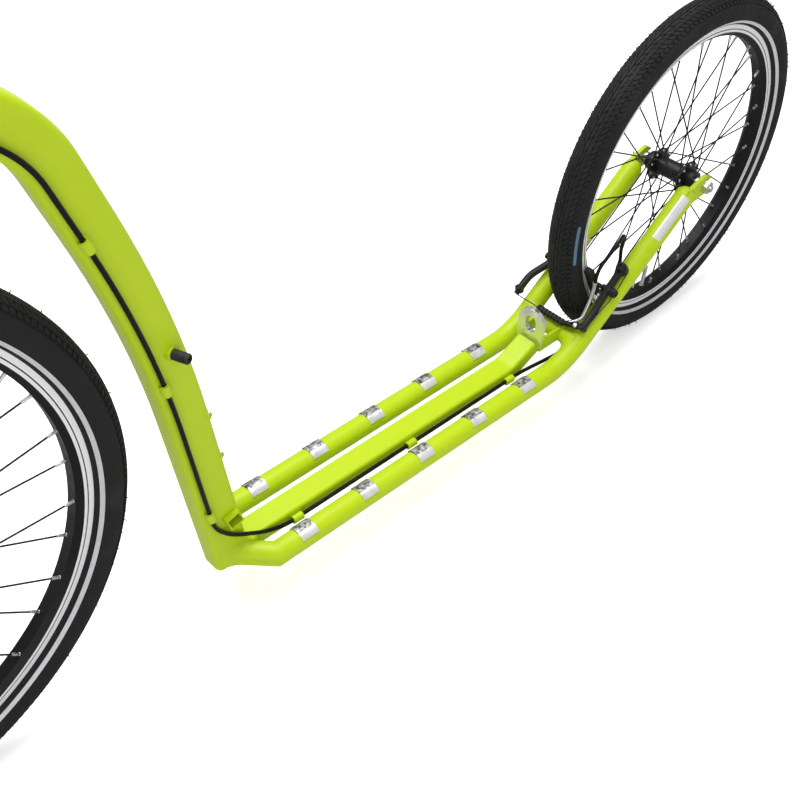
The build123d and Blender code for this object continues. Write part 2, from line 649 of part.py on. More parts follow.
def brake(name, at, axle, skin, rim_r, carriers, lead):
    """Linear-pull brake placed by at(s, up, y), with its noodle on the lead side."""
    mid_up = skin + STUD_RISE + ARM_T / 2
    lift = (at(0, mid_up) - axle).dot(at(0, 1) - at(0))
    shift = (at(0) - axle).dot(at(1) - at(0))
    track_s = sqrt((rim_r - TRACK_MID) ** 2 - lift ** 2) - shift
    stud_s = track_s - STUD_TO_TRACK
    tip_s = stud_s + ARM_LENGTH
    wire_s = tip_s + LINK_REACH
    half = STUD_SPAN / 2
    studs, arms, shoes, links = [], [], [], []
    for sign in SIDES.values():
        y = sign * half
        stud = rod(at(stud_s, 0, y), at(stud_s, mid_up + ARM_T / 2 + STUD_HEAD, y), STUD_D)
        studs.append(largest(stud - carriers[sign]))
        tip_half = half + (NOODLE_ARM_FLARE if sign == lead else ARM_FLARE)
        arm_points = [
            at(stud_s, mid_up, y),
            at(track_s, mid_up, y),
            at(tip_s - ARM_LENGTH / 4, mid_up, sign * tip_half),
            at(tip_s, mid_up, sign * tip_half),
        ]
        arm_path = FilletPolyline(*arm_points, radius=largest_radii(arm_points))
        arm_plane = Plane(origin=arm_points[0], x_dir=(0, 1, 0), z_dir=arm_path % 0)
        arm = sweep(arm_plane * RectangleRounded(ARM_WIDTH, ARM_T, ARM_WIDTH / 4), path=arm_path)
        for point, radius in ((arm_points[0], ARM_FOOT_R), (arm_points[3], ARM_TIP_R)):
            step = (at(0, 1) - at(0)) * (ARM_T / 2)
            arm += rod(point - step, point + step, 2 * radius)
        arm += rod(at(track_s, mid_up, y - ARM_FOOT_R), at(track_s, mid_up, y + ARM_FOOT_R), ARM_T)
        arm -= studs[-1]
        rub = at(track_s, mid_up, sign * (RIM_WIDTH / 2 + SHOE_GAP))
        spoke_way = at(track_s, mid_up) - axle
        block_plane = Plane(origin=rub, x_dir=spoke_way.cross(side(sign)), z_dir=side(sign))
        block = RectangleRounded(SHOE_LENGTH, SHOE_HEIGHT, SHOE_HEIGHT / 3)
        shoe = extrude(block_plane * block, SHOE_T)
        post_end = at(track_s, mid_up, sign * (half + ARM_FOOT_R + SHOE_POST_TAIL))
        shoe += rod(rub + side(sign * SHOE_T), post_end, SHOE_POST_D)
        shoes.append(shoe)
        arms.append(largest(arm - shoe))
        inner = half - NOODLE_IN if sign == lead else tip_half
        link = rod(at(tip_s, mid_up, sign * tip_half), at(wire_s, mid_up, sign * inner), LINK_D)
        links.append(largest(link - arms[-1]))
    noodle_y = lead * (half - NOODLE_INSET)
    noodle_points = [
        at(wire_s - NOODLE_RUN, mid_up + NOODLE_LIFT, noodle_y),
        at(wire_s, mid_up, noodle_y),
        at(wire_s, mid_up, lead * (half - NOODLE_IN)),
    ]
    noodle = bent_rod(noodle_points, [NOODLE_R], NOODLE_D)
    boot_start, boot_end = lead * (half - NOODLE_IN), lead * (half - NOODLE_IN - BOOT_LENGTH)
    rib = BOOT_LENGTH / BOOT_RIBS
    boot = rod(at(wire_s, mid_up, boot_start), at(wire_s, mid_up, boot_end), BOOT_D * 0.7)
    for index in range(BOOT_RIBS):
        y = boot_start - lead * rib * (index + 0.25)
        boot += rod(at(wire_s, mid_up, y), at(wire_s, mid_up, y - lead * rib / 2), BOOT_D)
    wire = rod(at(wire_s, mid_up, boot_end), at(wire_s, mid_up, -lead * (half + ARM_FLARE)), WIRE_D)
    links = [largest(link - noodle - wire - boot) for link in links]
    nodes[f"{name}_brake_studs"] = Compound(children=studs)
    nodes[f"{name}_brake_arms"] = Compound(children=arms)
    nodes[f"{name}_brake_shoes"] = Compound(children=shoes)
    nodes[f"{name}_brake_links"] = Compound(children=links)
    nodes[f"{name}_brake_noodle"] = Compound(children=[noodle, wire])
    nodes[f"{name}_brake_boot"] = boot
    return noodle_points[0], (noodle_points[1] - noodle_points[0]).normalized()


noodle_start, noodle_way = brake(
    "rear", stay, rear_axle, TUBE_D / 2, REAR_RIM_R, {1: side_tube, -1: other_tube}, 1
)
brake("front", leg_at, front_axle, LEG_TOP_D / 2, FRONT_RIM_R, {1: leg, -1: other_leg}, -1)

# Rear brake cable: from the head along the down tube and the centre bar, under the left stay,
# up inside it and over in a loop into the noodle
cable_y = DOWN_WIDTH / 2 + CABLE_OFF + CABLE_D / 2
bar_cable_y = BAR_WIDTH / 2 + CABLE_OFF + CABLE_D / 2


def inside_corner(before, corner, after, step):
    """Corner of a line that runs a step to the front of two others."""
    ways = [(corner - before).normalized(), (after - corner).normalized()]
    fronts = [Vector(way.Z, 0, -way.X) for way in ways]
    return corner + (fronts[0] + fronts[1]) * (step / (1 + fronts[0].dot(fronts[1])))


head_guide = down_path.length - HEAD_D / 2 - HEAD_GUIDE_GAP
cable_top = on_down(head_guide, CABLE_FRONT, cable_y)
cable_way = down_path.tangent_at(head_guide, position_mode=PositionMode.LENGTH)
route = [
    # point, bend radius there
    (cable_top, None),
    (inside_corner(bend, neck, head_mid, CABLE_FRONT) + side(cable_y), NECK_R - CABLE_FRONT),
    (inside_corner(foot, bend, neck, CABLE_FRONT) + side(cable_y), DOWN_BEND_R - CABLE_FRONT),
    (foot + down_front * CABLE_FRONT + down_up * 57 + side(cable_y), 60),
    (deck(198, bar_cable_y, bar_z), 60),
    (deck(-215, bar_cable_y, bar_z), 200),
    (Vector(-288, 25, -20), 70),
    (stay(264, -19.5, 38), 110),
    (stay(199, -19.5, 39), 60),
    (stay(157, -12, 25), 25),
    (stay(140, 14, 23), 30),
    (stay(126, 48, 30), 16),
    (stay(146, 66, 40), 18),
    (noodle_start - noodle_way * 20, 30),
    (noodle_start, None),
]
points = [point for point, radius in route]
radii = [radius for point, radius in route if radius]
nodes["rear_cable"] = bent_rod(points, radii, CABLE_D)

loop_end = Vector(barrel_end.X, -barrel_end.Y, barrel_end.Z)
barrel_way = Vector(outward.X, -outward.Y, 0)
loop = [
    cable_top + cable_way * RUN_FIT,
    cable_top + cable_way * 16,
    head_mid + cable_way * 10 + side(31),
    steer(head_low + 85, 66, 26),
    steer(head_low + 130, 92, -8),
    steer(cup_top + 40, 100, -52),
    loop_end - barrel_way * 42,
    loop_end,
]
loop_radii = largest_radii(loop)
nodes["rear_cable_loop"] = bent_rod(loop, loop_radii, CABLE_D)
print("cable bends", [round(r) for r in radii], "loop bends", [round(r) for r in loop_radii])

guides = []
for rise in DOWN_GUIDES + (head_guide - GUIDE_LENGTH / 2,):
    ends = [
        on_down(rise, CABLE_FRONT, cable_y)
        + down_path.tangent_at(rise, position_mode=PositionMode.LENGTH) * step
        for step in (-GUIDE_LENGTH / 2, GUIDE_LENGTH / 2)
    ]
    guides.append(ring(*ends, GUIDE_D, CABLE_D + 2 * GUIDE_FIT) - down_tube)
for x in BAR_GUIDES:
    ends = [deck(x + step, bar_cable_y, bar_z) for step in (-GUIDE_LENGTH / 2, GUIDE_LENGTH / 2)]
    guides.append(ring(*ends, GUIDE_D, CABLE_D + 2 * GUIDE_FIT) - centre_bar)
nodes["cable_guides"] = Compound(children=[largest(guide) for guide in guides])

os.makedirs("parts", exist_ok=True)
for name, shape in nodes.items():
    shape.label = name
    export_step(shape, f"parts/{name}.step")
    solids = shape.solids()
    volume = sum(solid.volume for solid in solids) / 1000
    print(f"{name}: {len(solids)} solids, {volume:.1f} cm3, valid {shape.is_valid}")
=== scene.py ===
"""Kick bike in lime paint, dressed over its solids: finishes, tyres, welds, bolts, cable and small trim."""

import json
import logging
import math
import random
from collections.abc import Sequence
from dataclasses import dataclass, field, replace
from enum import Enum

import bmesh
import bpy
from mathutils import Matrix, Vector
from mathutils.bvhtree import BVHTree

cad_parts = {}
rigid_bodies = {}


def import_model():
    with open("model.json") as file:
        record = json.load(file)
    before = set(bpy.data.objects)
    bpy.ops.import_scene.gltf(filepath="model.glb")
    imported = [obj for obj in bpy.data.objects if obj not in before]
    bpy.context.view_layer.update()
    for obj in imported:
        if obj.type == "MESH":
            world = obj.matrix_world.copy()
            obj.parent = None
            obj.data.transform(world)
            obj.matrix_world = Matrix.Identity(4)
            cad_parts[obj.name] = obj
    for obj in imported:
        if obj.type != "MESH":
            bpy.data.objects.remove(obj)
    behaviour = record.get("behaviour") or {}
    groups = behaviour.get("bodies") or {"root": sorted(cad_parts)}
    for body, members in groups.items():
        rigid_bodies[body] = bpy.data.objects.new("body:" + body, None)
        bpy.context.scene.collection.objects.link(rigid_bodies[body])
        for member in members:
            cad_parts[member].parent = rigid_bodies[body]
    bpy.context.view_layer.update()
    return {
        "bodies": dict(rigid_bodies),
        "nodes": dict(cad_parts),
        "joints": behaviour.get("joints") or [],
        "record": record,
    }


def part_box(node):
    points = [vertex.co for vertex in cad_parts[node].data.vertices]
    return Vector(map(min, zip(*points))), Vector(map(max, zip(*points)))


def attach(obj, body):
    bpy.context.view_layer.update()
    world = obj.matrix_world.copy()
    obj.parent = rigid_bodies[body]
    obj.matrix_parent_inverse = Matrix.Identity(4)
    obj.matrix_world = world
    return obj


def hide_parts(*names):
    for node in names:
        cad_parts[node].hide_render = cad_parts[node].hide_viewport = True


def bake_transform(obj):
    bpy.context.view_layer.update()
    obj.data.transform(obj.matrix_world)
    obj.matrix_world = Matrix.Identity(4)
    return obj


LOG = logging.getLogger("kick_bike")
MM = 0.001
BOTH = (1, -1)
CABLE_R = 2.5
Y_AXIS = Vector((0, 1, 0))
Colour = tuple[float, float, float]
Triple = tuple[float, float, float]
Profile = Sequence[tuple[float, float]]
Head = tuple[float, float]
Socket = bpy.types.NodeSocket


class Body(str, Enum):
    """Bodies that a piece can ride on."""

    FRAME = "frame"
    STEERING = "steering"
    FRONT_WHEEL = "front_wheel"
    REAR_WHEEL = "rear_wheel"


class Slot(str, Enum):
    """Material slots of the record."""

    PAINT = "paint"
    POLISHED = "polished"
    STEEL = "steel"
    BLACK_METAL = "black_metal"
    TYRE = "tyre_rubber"
    RUBBER = "rubber"
    CABLE = "cable"


def mm(*values: float) -> Vector:
    """Point or step given in millimetres."""
    return Vector(values) * MM


def turned(angle: float, radius: float, y: float = 0.0) -> Vector:
    """Step from an axle in millimetres: angle in radians from forward towards up."""
    return mm(radius * math.cos(angle), y, radius * math.sin(angle))


def smooth_route(points: list[Vector]) -> list[Vector]:
    """Points of a smooth curve that a row of control points pulls into shape.

    Args:
        points: Control points in metres; the first and the last lie on the curve.

    Returns:
        Points along the curve.
    """
    curve = bpy.data.curves.new("route", "CURVE")
    curve.dimensions = "3D"
    spline = curve.splines.new("NURBS")
    spline.points.add(len(points) - 1)
    for knot, place in zip(spline.points, points):
        knot.co = (*place, 1.0)
    spline.order_u = 3
    spline.use_endpoint_u = True
    spline.resolution_u = 10
    route = bpy.data.objects.new("route", curve)
    bpy.context.scene.collection.objects.link(route)
    bpy.context.view_layer.update()
    line = bpy.data.meshes.new_from_object(route)
    path = [v.co.copy() for v in line.vertices]
    bpy.data.objects.remove(route)
    bpy.data.meshes.remove(line)
    return path


def rounded_route(corners: tuple[tuple[float, float, float, float], ...]) -> list[Vector]:
    """Points of a route that runs straight between corners and turns each one in an arc.

    Args:
        corners: Triple and bend radius of each corner in millimetres; both ends have none.

    Returns:
        Points along the route in metres.
    """
    places = [mm(*corner[:3]) for corner in corners]
    path = [places[0]]
    for before, corner, after, row in zip(places, places[1:], places[2:], corners[1:]):
        back, ahead = (before - corner).normalized(), (after - corner).normalized()
        half, radius = back.angle(ahead) / 2, row[3] * MM
        middle = corner + (back + ahead).normalized() * (radius / math.sin(half))
        arm = corner + back * (radius / math.tan(half)) - middle
        turn = math.pi - 2 * half
        steps = max(6, round(turn * radius / (5 * MM)))
        for k in range(steps + 1):
            a = turn * k / steps
            path.append(middle + arm * math.cos(a) - back * (radius * math.sin(a)))
    return path + [places[-1]]


class Tree:
    """Short calls that fill one node tree."""

    def __init__(self, tree: bpy.types.NodeTree) -> None:
        """Keep the tree to fill.

        Args:
            tree: Node tree of a material or a group.
        """
        self.tree = tree

    def add(self, kind: str, inputs: dict | None = None, **props: object) -> bpy.types.Node:
        """Add one node.

        Args:
            kind: Shader node type without its prefix.
            inputs: Socket name or index to a value or to a socket to link.
            props: Plain settings of the node.

        Returns:
            The new node.
        """
        node = self.tree.nodes.new(kind if kind.startswith("Node") else "ShaderNode" + kind)
        for name, value in props.items():
            setattr(node, name, value)
        for key, value in (inputs or {}).items():
            if isinstance(value, Socket):
                self.tree.links.new(value, node.inputs[key])
            else:
                node.inputs[key].default_value = value
        return node

    def math(self, operation: str, first: object, second: object = 0.0) -> Socket:
        """Result of one math step on two values or sockets."""
        return self.add("Math", {0: first, 1: second}, operation=operation).outputs[0]

    def mix(self, factor: object, first: object, second: object) -> Socket:
        """Colour mixed between two colours by a factor."""
        node = self.add("Mix", {0: factor, 6: first, 7: second}, data_type="RGBA")
        return node.outputs[2]

    def span(self, value: Socket, low: float, high: float, to_low: float, to_high: float) -> Socket:
        """Value mapped from one range to another and held inside it."""
        inputs = {0: value, 1: low, 2: high, 3: to_low, 4: to_high}
        return self.add("MapRange", inputs).outputs[0]


class Groups:
    """Node groups that several finishes share."""

    def __init__(self) -> None:
        """Build each group once."""
        self.grain = self._grain()
        self.edge_wear_and_highlight = self._edge_wear_and_highlight()
        self.band = self._band()

    @staticmethod
    def _start(name: str, inputs: dict[str, float], outputs: list[str]) -> tuple[Tree, dict, dict]:
        """Open a group with its sockets.

        Args:
            name: Name of the group.
            inputs: Input names with their defaults.
            outputs: Output names.

        Returns:
            The tree, the input sockets by name and the output sockets by name.
        """
        group = bpy.data.node_groups.new(name, "ShaderNodeTree")
        for label, value in inputs.items():
            socket = group.interface.new_socket(label, in_out="INPUT", socket_type="NodeSocketFloat")
            socket.default_value = value
        for label in outputs:
            group.interface.new_socket(label, in_out="OUTPUT", socket_type="NodeSocketFloat")
        tree = Tree(group)
        entry = tree.add("NodeGroupInput").outputs
        leave = tree.add("NodeGroupOutput").inputs
        return tree, {n: entry[n] for n in inputs}, {n: leave[n] for n in outputs}

    def _grain(self) -> bpy.types.NodeTree:
        """Fine and broad unevenness of a surface: Tone, Rough and Height, each about 0 to 1.

        Returns:
            The group's nodes.
        """
        tree, given, out = self._start("SurfaceGrain", {"Scale": 400.0}, ["Tone", "Rough", "Height"])
        place = tree.add("TexCoord").outputs["Object"]
        fine = tree.add("TexNoise", {"Vector": place, "Scale": given["Scale"], "Detail": 3.0})
        broad_scale = tree.math("MULTIPLY", given["Scale"], 0.06)
        broad = tree.add("TexNoise", {"Vector": place, "Scale": broad_scale, "Detail": 4.0})
        parts = ((fine, 0.35), (broad, 0.65))
        shares = [tree.math("MULTIPLY", node.outputs[0], part) for node, part in parts]
        both = tree.math("ADD", *shares)
        tree.tree.links.new(tree.span(both, 0.3, 0.7, 0.0, 1.0), out["Tone"])
        tree.tree.links.new(tree.span(broad.outputs[0], 0.3, 0.7, 0.0, 1.0), out["Rough"])
        tree.tree.links.new(fine.outputs[0], out["Height"])
        return tree.tree

    def _edge_wear_and_highlight(self) -> bpy.types.NodeTree:
        """Mask of outer edges, broken up by noise: rubbed wear on the metals, a painted edge highlight on the
        lime paint.

        Returns:
            The group's nodes.
        """
        tree, given, out = self._start("EdgeWearAndHighlight", {"Radius": 0.0008, "Amount": 0.5}, ["Mask"])
        rounded = tree.add("Bevel", {"Radius": given["Radius"]}, samples=4).outputs[0]
        sharp = tree.add("NewGeometry").outputs["Normal"]
        dot = tree.add("VectorMath", {0: rounded, 1: sharp}, operation="DOT_PRODUCT").outputs["Value"]
        edge = tree.span(dot, 0.995, 0.9, 0.0, 1.0)
        place = tree.add("TexCoord").outputs["Object"]
        chips = tree.add("TexNoise", {"Vector": place, "Scale": 260.0, "Detail": 5.0}).outputs[0]
        broken = tree.math("MULTIPLY", edge, tree.span(chips, 0.42, 0.62, 0.0, 1.0))
        tree.tree.links.new(tree.math("MULTIPLY", broken, given["Amount"]), out["Mask"])
        return tree.tree

    def _band(self) -> bpy.types.NodeTree:
        """Mask of a ring between two radii round an axle, with the radius itself.

        Returns:
            The group's nodes.
        """
        start = {"Axle X": 0.0, "Axle Z": 0.0, "Inner": 0.1, "Outer": 0.2}
        tree, given, out = self._start("RadialBand", start, ["Mask", "Radius"])
        place = tree.add("SeparateXYZ", {0: tree.add("TexCoord").outputs["Object"]}).outputs
        across = tree.math("SUBTRACT", place[0], given["Axle X"])
        above = tree.math("SUBTRACT", place[2], given["Axle Z"])
        squares = [tree.math("MULTIPLY", step, step) for step in (across, above)]
        radius = tree.math("SQRT", tree.math("ADD", *squares))
        inside = tree.math("GREATER_THAN", radius, given["Inner"])
        below = tree.math("LESS_THAN", radius, given["Outer"])
        tree.tree.links.new(tree.math("MULTIPLY", inside, below), out["Mask"])
        tree.tree.links.new(radius, out["Radius"])
        return tree.tree


@dataclass(frozen=True)
class Finish:
    """One surface finish and the numbers of its shader."""

    name: str
    colour: Colour
    roughness: float
    rough_swing: float = 0.08
    tone_swing: float = 0.08
    metallic: float = 0.0
    coat: float = 0.0
    coat_roughness: float = 0.1
    specular: float = 0.5
    grain: float = 400.0
    bump: float = 0.02
    edge: float = 0.0008
    # Lighter colour along outer edges: rubbed wear on the metals, a painted edge highlight on the lime paint.
    edge_wear_and_highlight: float = 0.0
    edge_wear_and_highlight_colour: Colour = (0.5, 0.5, 0.5)

    def build(self, groups: Groups) -> bpy.types.Material:
        """Make the material.

        Args:
            groups: Shared node groups.

        Returns:
            The finished material.
        """
        material = bpy.data.materials.new(self.name)
        material.use_nodes = True
        material.diffuse_color = (*self.colour, 1.0)
        tree = Tree(material.node_tree)
        shader = material.node_tree.nodes["Principled BSDF"]
        grain = tree.add("Group", node_tree=groups.grain)
        grain.inputs["Scale"].default_value = self.grain
        colour = self.tint(tree, groups, self.toned(tree, grain.outputs["Tone"]))
        smooth, dull = self.roughness - self.rough_swing, self.roughness + self.rough_swing
        rough = tree.span(grain.outputs["Rough"], 0.0, 1.0, smooth, dull)
        # Outer edges take the edge colour: rubbed wear, and on the lime paint a painted edge highlight.
        if self.edge_wear_and_highlight:
            tint_mask = tree.add("Group", {"Radius": self.edge, "Amount": self.edge_wear_and_highlight}, node_tree=groups.edge_wear_and_highlight)
            colour = tree.mix(tint_mask.outputs["Mask"], colour, (*self.edge_wear_and_highlight_colour, 1.0))
        height = grain.outputs["Height"]
        bump = tree.add("Bump", {"Strength": 1.0, "Distance": self.bump * MM, "Height": height})
        links = material.node_tree.links
        if self.edge:
            soft = tree.add("Bevel", {"Radius": self.edge}, samples=4)
            links.new(soft.outputs[0], bump.inputs["Normal"])
        links.new(colour, shader.inputs["Base Color"])
        links.new(rough, shader.inputs["Roughness"])
        links.new(bump.outputs[0], shader.inputs["Normal"])
        shader.inputs["Metallic"].default_value = self.metallic
        shader.inputs["Specular IOR Level"].default_value = self.specular
        shader.inputs["Coat Weight"].default_value = self.coat
        shader.inputs["Coat Roughness"].default_value = self.coat_roughness
        self.complete(tree, groups, shader)
        return material

    def toned(self, tree: Tree, tone: Socket) -> Socket:
        """Base colour, a little lighter and darker over the surface.

        Args:
            tree: Nodes of the material.
            tone: Unevenness from 0 to 1.

        Returns:
            The colour.
        """
        dark = tuple(c * (1 - self.tone_swing) for c in self.colour)
        light = tuple(min(1.0, c * (1 + self.tone_swing)) for c in self.colour)
        return tree.mix(tone, (*dark, 1.0), (*light, 1.0))

    def tint(self, tree: Tree, groups: Groups, colour: Socket) -> Socket:
        """Colour after the marks of this finish; plain here."""
        return colour

    def complete(self, tree: Tree, groups: Groups, shader: bpy.types.Node) -> None:
        """Last links of this finish; none here."""


@dataclass(frozen=True)
class RimFinish(Finish):
    """Black rim with a bare brake track round its outer part."""

    axle: tuple[float, float] = (0.0, 0.0)
    track: tuple[float, float] = (0.2, 0.21)
    grooves: tuple[float, ...] = ()
    groove_width: float = 0.0012
    groove_colour: Colour = (0.03, 0.03, 0.03)
    bare: Colour = (0.94, 0.94, 0.95)
    shine: float = 0.3

    def _mask(self, tree: Tree, groups: Groups, inner: float, outer: float) -> bpy.types.Node:
        """Band of the rim between two radii."""
        inputs = {"Axle X": self.axle[0], "Axle Z": self.axle[1], "Inner": inner, "Outer": outer}
        return tree.add("Group", inputs, node_tree=groups.band)

    def tint(self, tree: Tree, groups: Groups, colour: Socket) -> Socket:
        """Bare track with turned lines and dark grooves.

        Args:
            tree: Nodes of the material.
            groups: Shared node groups.
            colour: Plain colour of the finish.

        Returns:
            The colour with the track on it.
        """
        band = self._mask(tree, groups, *self.track)
        lines = tree.math("SINE", tree.math("MULTIPLY", band.outputs["Radius"], 9000.0))
        low, high = (*(c * 0.96 for c in self.bare), 1.0), (*self.bare, 1.0)
        lit = tree.mix(tree.span(lines, -1.0, 1.0, 0.0, 1.0), low, high)
        colour = tree.mix(band.outputs["Mask"], colour, lit)
        for radius in self.grooves:
            cut = self._mask(tree, groups, radius - self.groove_width / 2, radius + self.groove_width / 2)
            colour = tree.mix(cut.outputs["Mask"], colour, (*self.groove_colour, 1.0))
        return colour

    def complete(self, tree: Tree, groups: Groups, shader: bpy.types.Node) -> None:
        """The bare track is metal, the black part is not.

        Args:
            tree: Nodes of the material.
            groups: Shared node groups.
            shader: Main shader of the material.
        """
        band = self._mask(tree, groups, *self.track)
        metal = tree.math("MULTIPLY", band.outputs["Mask"], self.shine)
        tree.tree.links.new(metal, shader.inputs["Metallic"])


@dataclass(frozen=True)
class PadFinish(Finish):
    """Bright foil with a worn dark hatch over the part that faces right."""

    middle: float = 0.0454
    border: float = 0.0040
    ground: Colour = (0.30, 0.295, 0.27)
    stroke: Colour = (0.035, 0.035, 0.03)

    def tint(self, tree: Tree, groups: Groups, colour: Socket) -> Socket:
        """Grey ground and patchy dark strokes beside the bright part of each pad.

        Args:
            tree: Nodes of the material.
            groups: Shared node groups; not used.
            colour: Plain colour of the finish.

        Returns:
            The colour with the hatch on it.
        """
        place = tree.add("TexCoord").outputs["Object"]
        across = tree.add("SeparateXYZ", {0: place}).outputs[1]
        off = tree.math("SUBTRACT", across, tree.math("MULTIPLY", tree.math("SIGN", across), self.middle))
        part = tree.span(off, self.border - 0.0010, self.border + 0.0006, 1.0, 0.0)
        stretched = tree.add("Mapping", {"Vector": place, "Scale": (1.0, 2.2, 1.0)}).outputs[0]
        cells = tree.add("TexVoronoi", {"Vector": stretched, "Scale": 330.0}, distance="CHEBYCHEV")
        marks = tree.span(cells.outputs["Distance"], 0.18, 0.42, 0.0, 1.0)
        scuff = tree.add("TexNoise", {"Vector": place, "Scale": 190.0, "Detail": 5.0}).outputs[0]
        patchy = tree.math("MULTIPLY", marks, tree.span(scuff, 0.35, 0.6, 0.1, 1.0))
        tint_mask = tree.math("MULTIPLY", part, tree.span(scuff, 0.35, 0.65, 0.25, 0.85))
        colour = tree.mix(tint_mask, colour, (*self.ground, 1.0))
        return tree.mix(tree.math("MULTIPLY", patchy, part), colour, (*self.stroke, 1.0))


@dataclass(frozen=True)
class TyreFinish(Finish):
    """Rubber with a little pale dust in broad patches."""

    dust: Colour = (0.045, 0.045, 0.043)

    def tint(self, tree: Tree, groups: Groups, colour: Socket) -> Socket:
        """Dust over the rubber.

        Args:
            tree: Nodes of the material.
            groups: Shared node groups; not used.
            colour: Plain colour of the finish.

        Returns:
            The colour with the dust on it.
        """
        place = tree.add("TexCoord").outputs["Object"]
        cloud = tree.add("TexNoise", {"Vector": place, "Scale": 28.0, "Detail": 6.0}).outputs[0]
        return tree.mix(tree.span(cloud, 0.52, 0.75, 0.0, 0.30), colour, (*self.dust, 1.0))


class Shaper:
    """Collects the faces of one piece, in metres."""

    def __init__(self) -> None:
        """Start with no faces."""
        self.bm = bmesh.new()
        self.material = 0

    def strip(self, rings: list[list[Vector]], closed: bool = False, caps: bool = True) -> None:
        """Skin a row of closed rings.

        Args:
            rings: Rings of equal length.
            closed: Join the last ring to the first.
            caps: Close both ends with a face.
        """
        rows = [[self.bm.verts.new(p) for p in ring] for ring in rings]
        count = len(rows[0])
        pairs = list(zip(rows, rows[1:]))
        if closed:
            pairs.append((rows[-1], rows[0]))
        for low, high in pairs:
            for i in range(count):
                j = (i + 1) % count
                self.face((low[i], low[j], high[j], high[i]))
        if caps and not closed:
            self.face(tuple(reversed(rows[0])))
            self.face(tuple(rows[-1]))

    def plate(self, top: list[list[Vector]], foot: list[list[Vector]]) -> None:
        """Close two grids of points into a thin curved plate.

        Args:
            top: Rows of points of the outer skin.
            foot: Rows of points of the inner skin, as many as in top.
        """
        skins = [[[self.bm.verts.new(p) for p in row] for row in rows] for rows in (top, foot)]
        rims = []
        for rows in skins:
            for low, high in zip(rows, rows[1:]):
                for k in range(len(low) - 1):
                    self.face((low[k], low[k + 1], high[k + 1], high[k]))
            ends = [row[-1] for row in rows[1:]], [row[0] for row in rows[-2:0:-1]]
            rims.append(rows[0] + ends[0] + rows[-1][-2::-1] + ends[1])
        upper, lower = rims
        for k in range(len(upper)):
            j = (k + 1) % len(upper)
            self.face((upper[k], upper[j], lower[j], lower[k]))

    def face(self, verts: tuple) -> None:
        """One face with the current material."""
        self.bm.faces.new(verts).material_index = self.material

    def lathe(
        self, seat: Vector, axis: Vector, profile: Profile, sides: int = 24,
        hexed: tuple[int, ...] = (),
    ) -> None:
        """Turn a profile round an axis.

        Args:
            seat: Foot of the axis in metres.
            axis: Direction of the axis.
            profile: Radius and height along the axis in millimetres, from end to end.
            sides: Points round a ring.
            hexed: Indexes of profile points whose ring is a hexagon.
        """
        axis = axis.normalized()
        first = axis.orthogonal().normalized()
        second = axis.cross(first)
        rings = []
        for index, (radius, height) in enumerate(profile):
            ring = []
            for i in range(sides):
                angle = math.tau * i / sides
                reach = radius
                if index in hexed:
                    reach = radius / math.cos((angle % (math.pi / 3)) - math.pi / 6)
                way = first * math.cos(angle) + second * math.sin(angle)
                ring.append(seat + way * (reach * MM) + axis * (height * MM))
            rings.append(ring)
        self.strip(rings)

    def bolt(self, seat: Vector, axis: Vector, radius: float, height: float) -> None:
        """Cap bolt with a hexagonal socket, in millimetres.

        Args:
            seat: Middle of the face under the head, in metres.
            axis: Direction that the head points in.
            radius: Radius of the head.
            height: Height of the head.
        """
        edge, key, depth = radius * 0.16, radius * 0.5, height * 0.55
        profile = [
            (radius, -0.3), (radius, height - edge), (radius - edge, height),
            (key * 1.06, height), (key, height - 0.15), (key, height - depth),
        ]
        self.lathe(seat, axis, profile, hexed=(3, 4, 5))

    def washer(self, seat: Vector, axis: Vector, radius: float, height: float) -> None:
        """Flat washer with eased edges, in millimetres.

        Args:
            seat: Middle of its foot, in metres.
            axis: Direction that its top faces.
            radius: Outer radius.
            height: Thickness.
        """
        ease = height * 0.25
        inner = radius - ease
        self.lathe(seat, axis, [(inner, 0), (radius, ease), (radius, height - ease), (inner, height)])

    def tube(self, path: list[Vector], radius: list[float] | float, sides: int = 10) -> None:
        """Round tube along a path.

        Args:
            path: Points in metres.
            radius: Radius in millimetres, one or one a point.
            sides: Points round the tube.
        """
        count = len(path)
        radii = radius if isinstance(radius, list) else [radius] * count
        rings = []
        normal = None
        for i, point in enumerate(path):
            way = (path[min(i + 1, count - 1)] - path[max(i - 1, 0)]).normalized()
            if normal is None:
                normal = way.orthogonal()
            normal = (normal - way * normal.dot(way)).normalized()
            side = way.cross(normal)
            rings.append([
                point + (normal * math.cos(a) + side * math.sin(a)) * (radii[i] * MM)
                for a in (math.tau * k / sides for k in range(sides))
            ])
        self.strip(rings)

    def piece(
        self, name: str, body: Body, slot: Slot, finishes: list[bpy.types.Material], crease: float = 35.0
    ) -> bpy.types.Object:
        """Turn the faces into an object that rides on a body.

        Args:
            name: Name of the piece.
            body: Body that it moves with.
            slot: Record slot of its finish; not used.
            finishes: Materials by index.
            crease: Angle in degrees above which an edge stays sharp.

        Returns:
            The new object.
        """
        obj = self.free(name, slot, finishes, crease)
        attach(obj, body.value)
        return obj

    def free(
        self, name: str, slot: Slot, finishes: list[bpy.types.Material], crease: float = 35.0
    ) -> bpy.types.Object:
        """Turn the faces into an object that rides on nothing yet.

        Args:
            name: Name of the piece.
            slot: Record slot of its finish; not used.
            finishes: Materials by index.
            crease: Angle in degrees above which an edge stays sharp.

        Returns:
            The new object.
        """
        bmesh.ops.recalc_face_normals(self.bm, faces=self.bm.faces)
        mesh = bpy.data.meshes.new(name)
        self.bm.to_mesh(mesh)
        self.bm.free()
        for material in finishes:
            mesh.materials.append(material)
        mesh.polygons.foreach_set("use_smooth", [True] * len(mesh.polygons))
        mesh.set_sharp_from_angle(angle=math.radians(crease))
        obj = bpy.data.objects.new(name, mesh)
        bpy.context.scene.collection.objects.link(obj)
        return obj


